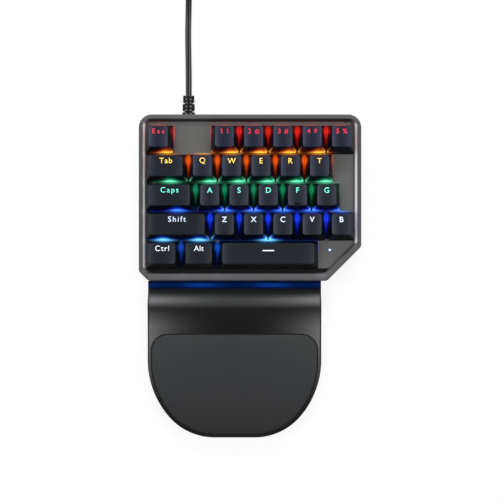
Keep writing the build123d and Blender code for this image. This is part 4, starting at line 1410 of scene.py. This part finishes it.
    def shade_under_keys(self, paint: Paint) -> Num:
        """1 where painted shade falls: under each row of keys and in a band before the front row, else
        0.
        """
        x, y, _ = paint.axes()
        shade_before_keys = y.below(self.front_shade_reach * MM) * x.below(self.front_shade_end * MM)
        total = shade_before_keys
        for row in range(LAYOUT.row_count):
            deep = (y - LAYOUT.row_y(row) * MM).absolute().below(LAYOUT.pitch / 2 * MM)
            for block in LAYOUT.blocks(row):
                start, end = block[0][1], block[-1][2]
                aside = (x - (start + end) / 2 * MM).absolute()
                total = total + deep * aside.below(((end - start) / 2 - LAYOUT.gap / 2) * MM)
        return total.clamped()

    def cover_finish(self) -> bpy.types.Material:
        """The switch covers' milky plastic, lit by the lamps."""
        paint = Paint("switch_cover_plastic")
        cloud = paint.noise(200.0, 2.0)
        paint.set(Base_Color=paint.mix(cloud, srgb(70, 72, 76), srgb(96, 98, 102)), Roughness=0.3)
        paint.set(Emission_Color=self.glow_on(paint, 1.4, 3.5), Emission_Strength=1.0)
        return paint.material

    def build(self, nodes: dict) -> None:
        """Makes the rim and dresses the case's other pieces."""
        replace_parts(finish_piece(self.rim(), self.rim_finish(), "case"), "top_frame")
        black = Moulded("tray_black", srgb(24, 24, 26), 0.55, Texture.COARSE).paint()
        finishes = {
            "switch_plate": self.plate_finish(),
            "bottom_shell": black,
            "wrist_rest_base": black,
            "switch_covers": self.cover_finish(),
            "switch_bases": Moulded("switch_black", srgb(22, 22, 23), 0.4, Texture.SATIN).paint(),
            "circuit_board": self.board_finish(),
            "switch_leds": self.lamp_finish(),
            "indicator_led": self.indicator_finish(),
        }
        small = {
            "case_screws": Metal("black_screw_steel", srgb(60, 60, 62), 0.35).paint(),
            "switch_springs": Metal("spring_steel", srgb(190, 190, 192), 0.25).paint(),
            "switch_contacts": Metal("contact_bronze", srgb(186, 140, 70), 0.3).paint(),
            "rubber_feet": Moulded("foot_rubber", srgb(30, 30, 31), 0.8, Texture.COARSE).paint(),
            "stabiliser_housings": Moulded("stabiliser_black", srgb(26, 26, 27), 0.45).paint(),
            "shift_stabiliser_sliders": Moulded("slider_grey", srgb(170, 170, 168), 0.4).paint(),
            "plate_screws": self.plate_screw_finish(),
        }
        small["wrist_rest_screws"] = small["case_screws"]
        small["shift_stabiliser_wire"] = small["space_stabiliser_wire"] = small["switch_springs"]
        small["space_stabiliser_sliders"] = small["shift_stabiliser_sliders"]
        small["controller_chip"] = small["cable_connector"] = small["stabiliser_housings"]
        for node, material in {**finishes, **small}.items():
            dress(nodes[node], material)

    def board_finish(self) -> bpy.types.Material:
        """The board's dark green mask with finer copper tracks under it."""
        paint = Paint("board_mask")
        tracks = paint.cells(260.0, "DISTANCE_TO_EDGE").below(0.06)
        paint.set(Base_Color=paint.mix(tracks, srgb(14, 44, 30), srgb(30, 78, 52)), Roughness=0.35)
        paint.bump(tracks, 0.3, 0.00003)
        return paint.material

    def lamp_finish(self) -> bpy.types.Material:
        """The lamps under the keys, in their row's colour."""
        paint = Paint("key_lamps")
        paint.set(Base_Color=srgb(220, 220, 225), Roughness=0.2)
        paint.set(Emission_Color=self.glow_on(paint, 2.0, 4.0), Emission_Strength=2.0)
        return paint.material

    def indicator_finish(self) -> bpy.types.Material:
        """The small lamp in the plate."""
        paint = Paint("indicator_lamp")
        near = paint.noise(500.0, 1.0)
        colour = paint.mix(near, srgb(140, 180, 255), srgb(225, 235, 255))
        paint.set(Base_Color=colour, Roughness=0.2, Emission_Color=colour, Emission_Strength=1.2)
        return paint.material


def dress(piece: bpy.types.Object, material: bpy.types.Material) -> None:
    """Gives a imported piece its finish, in every slot that it has."""
    if not piece.material_slots:
        piece.data.materials.append(material)
    for place in piece.material_slots:
        place.material = material


@dataclass
class WristRest:
    """The wrist rest: its shell and its soft pad."""

    width: float = 115.4
    offset: float = -10.3
    front: float = -107.2
    flat_reach: float = 51.6
    case_front: float = -2.8
    ledge: float = 5.2
    pad_start: float = 36.0
    corner: float = 40.0
    pad_inset: float = 2.9
    pad_back_gap: float = -0.2
    pad_corner: float = 10.4
    pad_reach: float = 32.0
    pad_edge: tuple = (
        (-0.72, -0.6),
        (-0.72, 0.2),
        (0.0, 0.2),
        (0.1, 0.45),
        (0.45, 0.75),
        (1.0, 1.0),
        (1.8, 1.12),
    )
    # How low the pad's edge rings lie that get painted shade in the groove.
    groove_shade_height: float = 0.3
    middle_height: float = 14.2
    front_height: float = 12.4
    crown: float = 1.6
    rings: int = 26
    # Where the painted highlight on the crest lies and how far it spreads.
    crest_y: float = -15.4
    crest_reach: float = 2.9
    band_y: float = -5.6
    band_reach: float = 1.7
    spots_y: float = -5.9
    spots_reach: float = 1.2
    spots: tuple = ((-33.0, 13.0, 1.0), (14.5, 12.0, 1.0), (-67.0, 8.0, 0.35), (46.0, 8.0, 0.2))

    def pad_outline(self, inset: float) -> Outline:
        """The pad's outline drawn in by so much."""
        away = self.pad_inset + inset
        radius = self.width / 2
        centre = self.front + self.flat_reach
        back = self.case_front - self.pad_start - self.pad_back_gap - inset
        corner = max(0.8, self.pad_corner - inset)
        drop = self.flat_reach - self.corner
        reach = math.sqrt((radius - self.corner) ** 2 - drop**2)
        turn = math.atan2(drop, reach)
        found: Outline = []

        def arc(
            x: float,
            y: float,
            size: float,
            start: float,
            end: float,
            steps: int,
        ) -> None:
            """Adds the points of one arc."""
            for i in range(steps + 1):
                angle = start + (end - start) * i / steps
                found.append((x + size * math.cos(angle), y + size * math.sin(angle)))

        def run(x: float, y: float, steps: int) -> None:
            """Adds points on the way to a place, without its ends."""
            from_x, from_y = found[-1]
            for i in range(1, steps):
                share = i / steps
                found.append((from_x + (x - from_x) * share, from_y + (y - from_y) * share))

        arc(0.0, centre, radius - away, math.pi, math.pi + turn, 24)
        found.pop()
        low = self.front + self.corner
        arc(-reach, low, self.corner - away, math.pi + turn, 1.5 * math.pi, 30)
        run(reach, self.front + away, 12)
        arc(reach, low, self.corner - away, 1.5 * math.pi, 2 * math.pi - turn, 30)
        found.pop()
        arc(0.0, centre, radius - away, 2 * math.pi - turn, 2 * math.pi, 24)
        run(radius - away, back - corner, 10)
        arc(radius - away - corner, back - corner, corner, 0.0, math.pi / 2, 12)
        run(-radius + away + corner, back, 24)
        arc(-radius + away + corner, back - corner, corner, math.pi / 2, math.pi, 12)
        run(-radius + away, centre, 10)
        return [(x + self.offset, y) for x, y in found]

    def deck(self, y: float) -> float:
        """The shell's height under the pad."""
        start = self.case_front - self.pad_start
        share = (start - y) / (start - self.front)
        return self.middle_height + (self.front_height - self.middle_height) * share

    def pad(self) -> bpy.types.Object:
        """The pad: a crowned form with rounded edges that fills its recess."""
        points: list[Point] = []
        groove_shade: list[Colour] = []
        outline: Outline = []
        for inset, rise in self.pad_edge:
            outline = self.pad_outline(inset)
            points += [(x, y, self.deck(y) + rise) for x, y in outline]
            # The lowest edge rings are marked for painted shade in the groove.
            groove_shade += [(1.0, 1.0, 1.0) if rise < self.groove_shade_height else NO_LIGHT] * len(outline)
        around = len(outline)
        edge_rise = self.pad_edge[-1][1]
        middle_x, middle_y = self.offset, self.case_front - self.pad_start - self.pad_reach
        for k in range(1, self.rings):
            share = 1 - k / self.rings
            swell = edge_rise + (self.crown - edge_rise) * (1 - share**2)
            for x, y in outline:
                px = middle_x + (x - middle_x) * share
                py = middle_y + (y - middle_y) * share
                points.append((px, py, self.deck(py) + swell))
        count = len(self.pad_edge) + self.rings - 1
        faces = ring_faces(count, around)
        last = (count - 1) * around
        faces.append(tuple(last + i for i in range(around)))
        faces.append(tuple(range(around)))
        groove_shade += [NO_LIGHT] * (len(points) - len(groove_shade))
        made = mesh_piece("wrist_pad_cover", points, faces)
        store_colours(made, "groove_shade", groove_shade)
        return made

    def from_middle(self, x: Num) -> Num:
        """How far to a side of the rest a place lies: 0 in the middle, 1 at either edge."""
        return (x - self.offset * MM).absolute() / (self.width / 2 * MM)

    def pad_finish(self) -> bpy.types.Material:
        """The pad's soft black cover with a fine pebbled grain, painted lighter towards the back and
        the sides as light falls, and painted shade where its edge tucks into the groove.
        """
        paint = Paint("pad_leatherette")
        pebble = paint.cells(1500.0)
        fine = paint.noise(3200.0, 2.0)
        cloud = paint.noise(38.0, 3.0)
        x, y, _ = paint.axes()
        side = self.from_middle(x)
        # Painted light: the cover lighter towards the back and towards the sides.
        share = ((y + 106.0 * MM) / (66.0 * MM)).clamped() * (side * side * 0.5 + 0.85)
        grain = cloud * 0.6 + pebble * 0.4
        low = paint.mix(grain, srgb(26, 26, 28), srgb(36, 36, 38))
        high = paint.mix(grain, srgb(48, 50, 51), srgb(58, 60, 61))
        soft = paint.mix(share, low, high)
        # Painted shade in the groove where the edge tucks down.
        paint.set(Base_Color=paint.mix(paint.attribute("groove_shade"), soft, srgb(3, 3, 4)))
        paint.set(Roughness=(cloud - 0.5) * 0.1 + 0.6, Specular_IOR_Level=0.2)
        paint.bump(pebble * 0.7 + fine * 0.3, 0.35, 0.00012)
        return paint.material

    def shell_finish(self) -> bpy.types.Material:
        """The shell's black plastic under a light coat, with painted highlights on its crest and
        sides, painted shade on its ledge and the case's blue light painted there.
        """
        paint = Paint("rest_shell_plastic")
        fine = paint.noise(2400.0, 3.0)
        cloud = paint.noise(50.0, 2.0)
        x, y, _ = paint.axes()
        ledge = y.above((self.case_front - self.ledge) * MM)
        # Painted highlight on the crest's rising face.
        rise = (y * -1.0 - 5.5 * MM) / (8.5 * MM)
        fall = (y + 21.2 * MM) / (4.0 * MM)
        crest = rise.clamped() * fall.clamped()
        plain = paint.mix(cloud, srgb(4, 4, 5), srgb(8, 8, 9))
        plain = paint.mix(crest, plain, srgb(67, 68, 68))
        # Painted highlights at the sides and on the crest, and painted shade on the ledge under the
        # case's edge.
        highlit = paint.mix(self.painted_highlight(x, y), plain, srgb(122, 122, 124))
        paint.set(Base_Color=paint.mix(ledge, highlit, srgb(2, 3, 5)))
        paint.set(Roughness=(fine - 0.5) * 0.08 + 0.3, Specular_IOR_Level=0.0)
        paint.set(Coat_Weight=(1.0 - ledge) * (1.0 - crest * 0.85) * 0.24, Coat_Roughness=0.27)
        paint.set(Emission_Color=self.ledge_light(paint, x, y, ledge), Emission_Strength=1.0)
        paint.bump(fine, 0.15, 0.00003)
        return paint.material

    def painted_highlight(self, x: Num, y: Num) -> Num:
        """How much painted highlight the shell gets: at its sides and on its crest, not where it turns
        down.
        """
        side = self.from_middle(x)
        before_pad = (1.0 - (y + (self.pad_start - 3.0) * MM) / (13.0 * MM)).clamped()
        beside_pad = ((y + 102.0 * MM) / (60.0 * MM)).clamped()
        at_sides = side**3.3 * before_pad * beside_pad**2.0 * 0.87
        on_crest = side * side * y.bell(self.crest_y * MM, self.crest_reach * MM) * 1.3
        turned = 1.0 - ((side - 0.975) / 0.02).clamped()
        return (at_sides + on_crest) * turned

    def ledge_light(self, paint: Paint, x: Num, y: Num, ledge: Num) -> bpy.types.NodeSocket:
        """The blue light under the case's edge: an even band with brighter spots.

        Args:
            paint: the material in the making.
            x: the point, across the keypad.
            y: the point, along the keypad.
            ledge: 1 on the ledge, else 0.

        Returns:
            The light's colour.
        """
        lobes = None
        for place, reach, strength in self.spots:
            lobe = x.bell(place * MM, reach * MM) * strength
            lobes = lobe if lobes is None else lobes + lobe
        bright = lobes * y.bell(self.spots_y * MM, self.spots_reach * MM)
        spots = paint.mix(bright, NO_LIGHT, srgb(10, 50, 132))
        falling = ledge * (0.6 + y.bell(self.band_y * MM, self.band_reach * MM) * 0.4)
        band = paint.mix(falling, NO_LIGHT, srgb(2, 20, 56))
        return paint.mix(ledge, NO_LIGHT, paint.mix(1.0, band, spots, "ADD"))

    def build(self, nodes: dict) -> None:
        """Makes the pad and dresses the shell."""
        pad = finish_piece(self.pad(), self.pad_finish(), "case")
        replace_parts(pad, "wrist_pad")
        dress(nodes["wrist_rest_shell"], self.shell_finish())


@dataclass
class CordEnds:
    """The strain relief, the plug and the inner lead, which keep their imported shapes."""

    relief_x: float = -41.0
    bead_line: float = 1.5
    bead_width: float = 0.55
    bead_pitch: float = 2.45

    def relief_finish(self) -> bpy.types.Material:
        """The relief's black rubber, with two lines of small beads moulded along it and painted pale
        as highlights.
        """
        paint = Paint("relief_rubber")
        x, y, _ = paint.axes()
        fine = paint.noise(1500.0, 2.0)
        aside = (x - self.relief_x * MM).absolute()
        lines = aside.bell(self.bead_line * MM, self.bead_width * MM)
        beads_and_highlights = (y.wave(self.bead_pitch * MM) * 0.5 + 0.5) ** 2.0 * lines
        # The beads are raised by the bump and painted pale as highlights.
        paint.set(Base_Color=paint.mix(beads_and_highlights, srgb(5, 5, 6), srgb(150, 150, 150)))
        paint.set(Roughness=(fine - 0.5) * 0.1 + 0.36, Specular_IOR_Level=0.12)
        paint.bump(beads_and_highlights + fine * 0.2, 0.4, 0.0001)
        return paint.material

    def build(self, nodes: dict, jacket: bpy.types.Material) -> None:
        """Dresses the pieces on the cord."""
        finishes = {
            "strain_relief": self.relief_finish(),
            "plug_body": Moulded("plug_rubber", srgb(18, 18, 19), 0.42, Texture.SATIN).paint(),
            "cable_pigtail": jacket,
            "plug_shell": Metal("plug_nickel", srgb(158, 158, 161), 0.25).paint(),
            "plug_tongue": Moulded("plug_core_plastic", srgb(225, 225, 222), 0.45).paint(),
        }
        for node, material in finishes.items():
            dress(nodes[node], material)


def main() -> None:
    """Builds the studio and every part of the keypad, in order."""
    logging.basicConfig(level=logging.INFO, format="%(name)s: %(message)s")
    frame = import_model()
    bpy.context.scene.view_settings.view_transform = "Standard"
    Studio().build()
    cord = Cord()
    cord_piece = cord.build()
    Case().build(frame["nodes"])
    Keycaps().build()
    WristRest().build(frame["nodes"])
    CordEnds().build(frame["nodes"], cord_piece.data.materials[0])


if __name__ == "__main__":
    main()
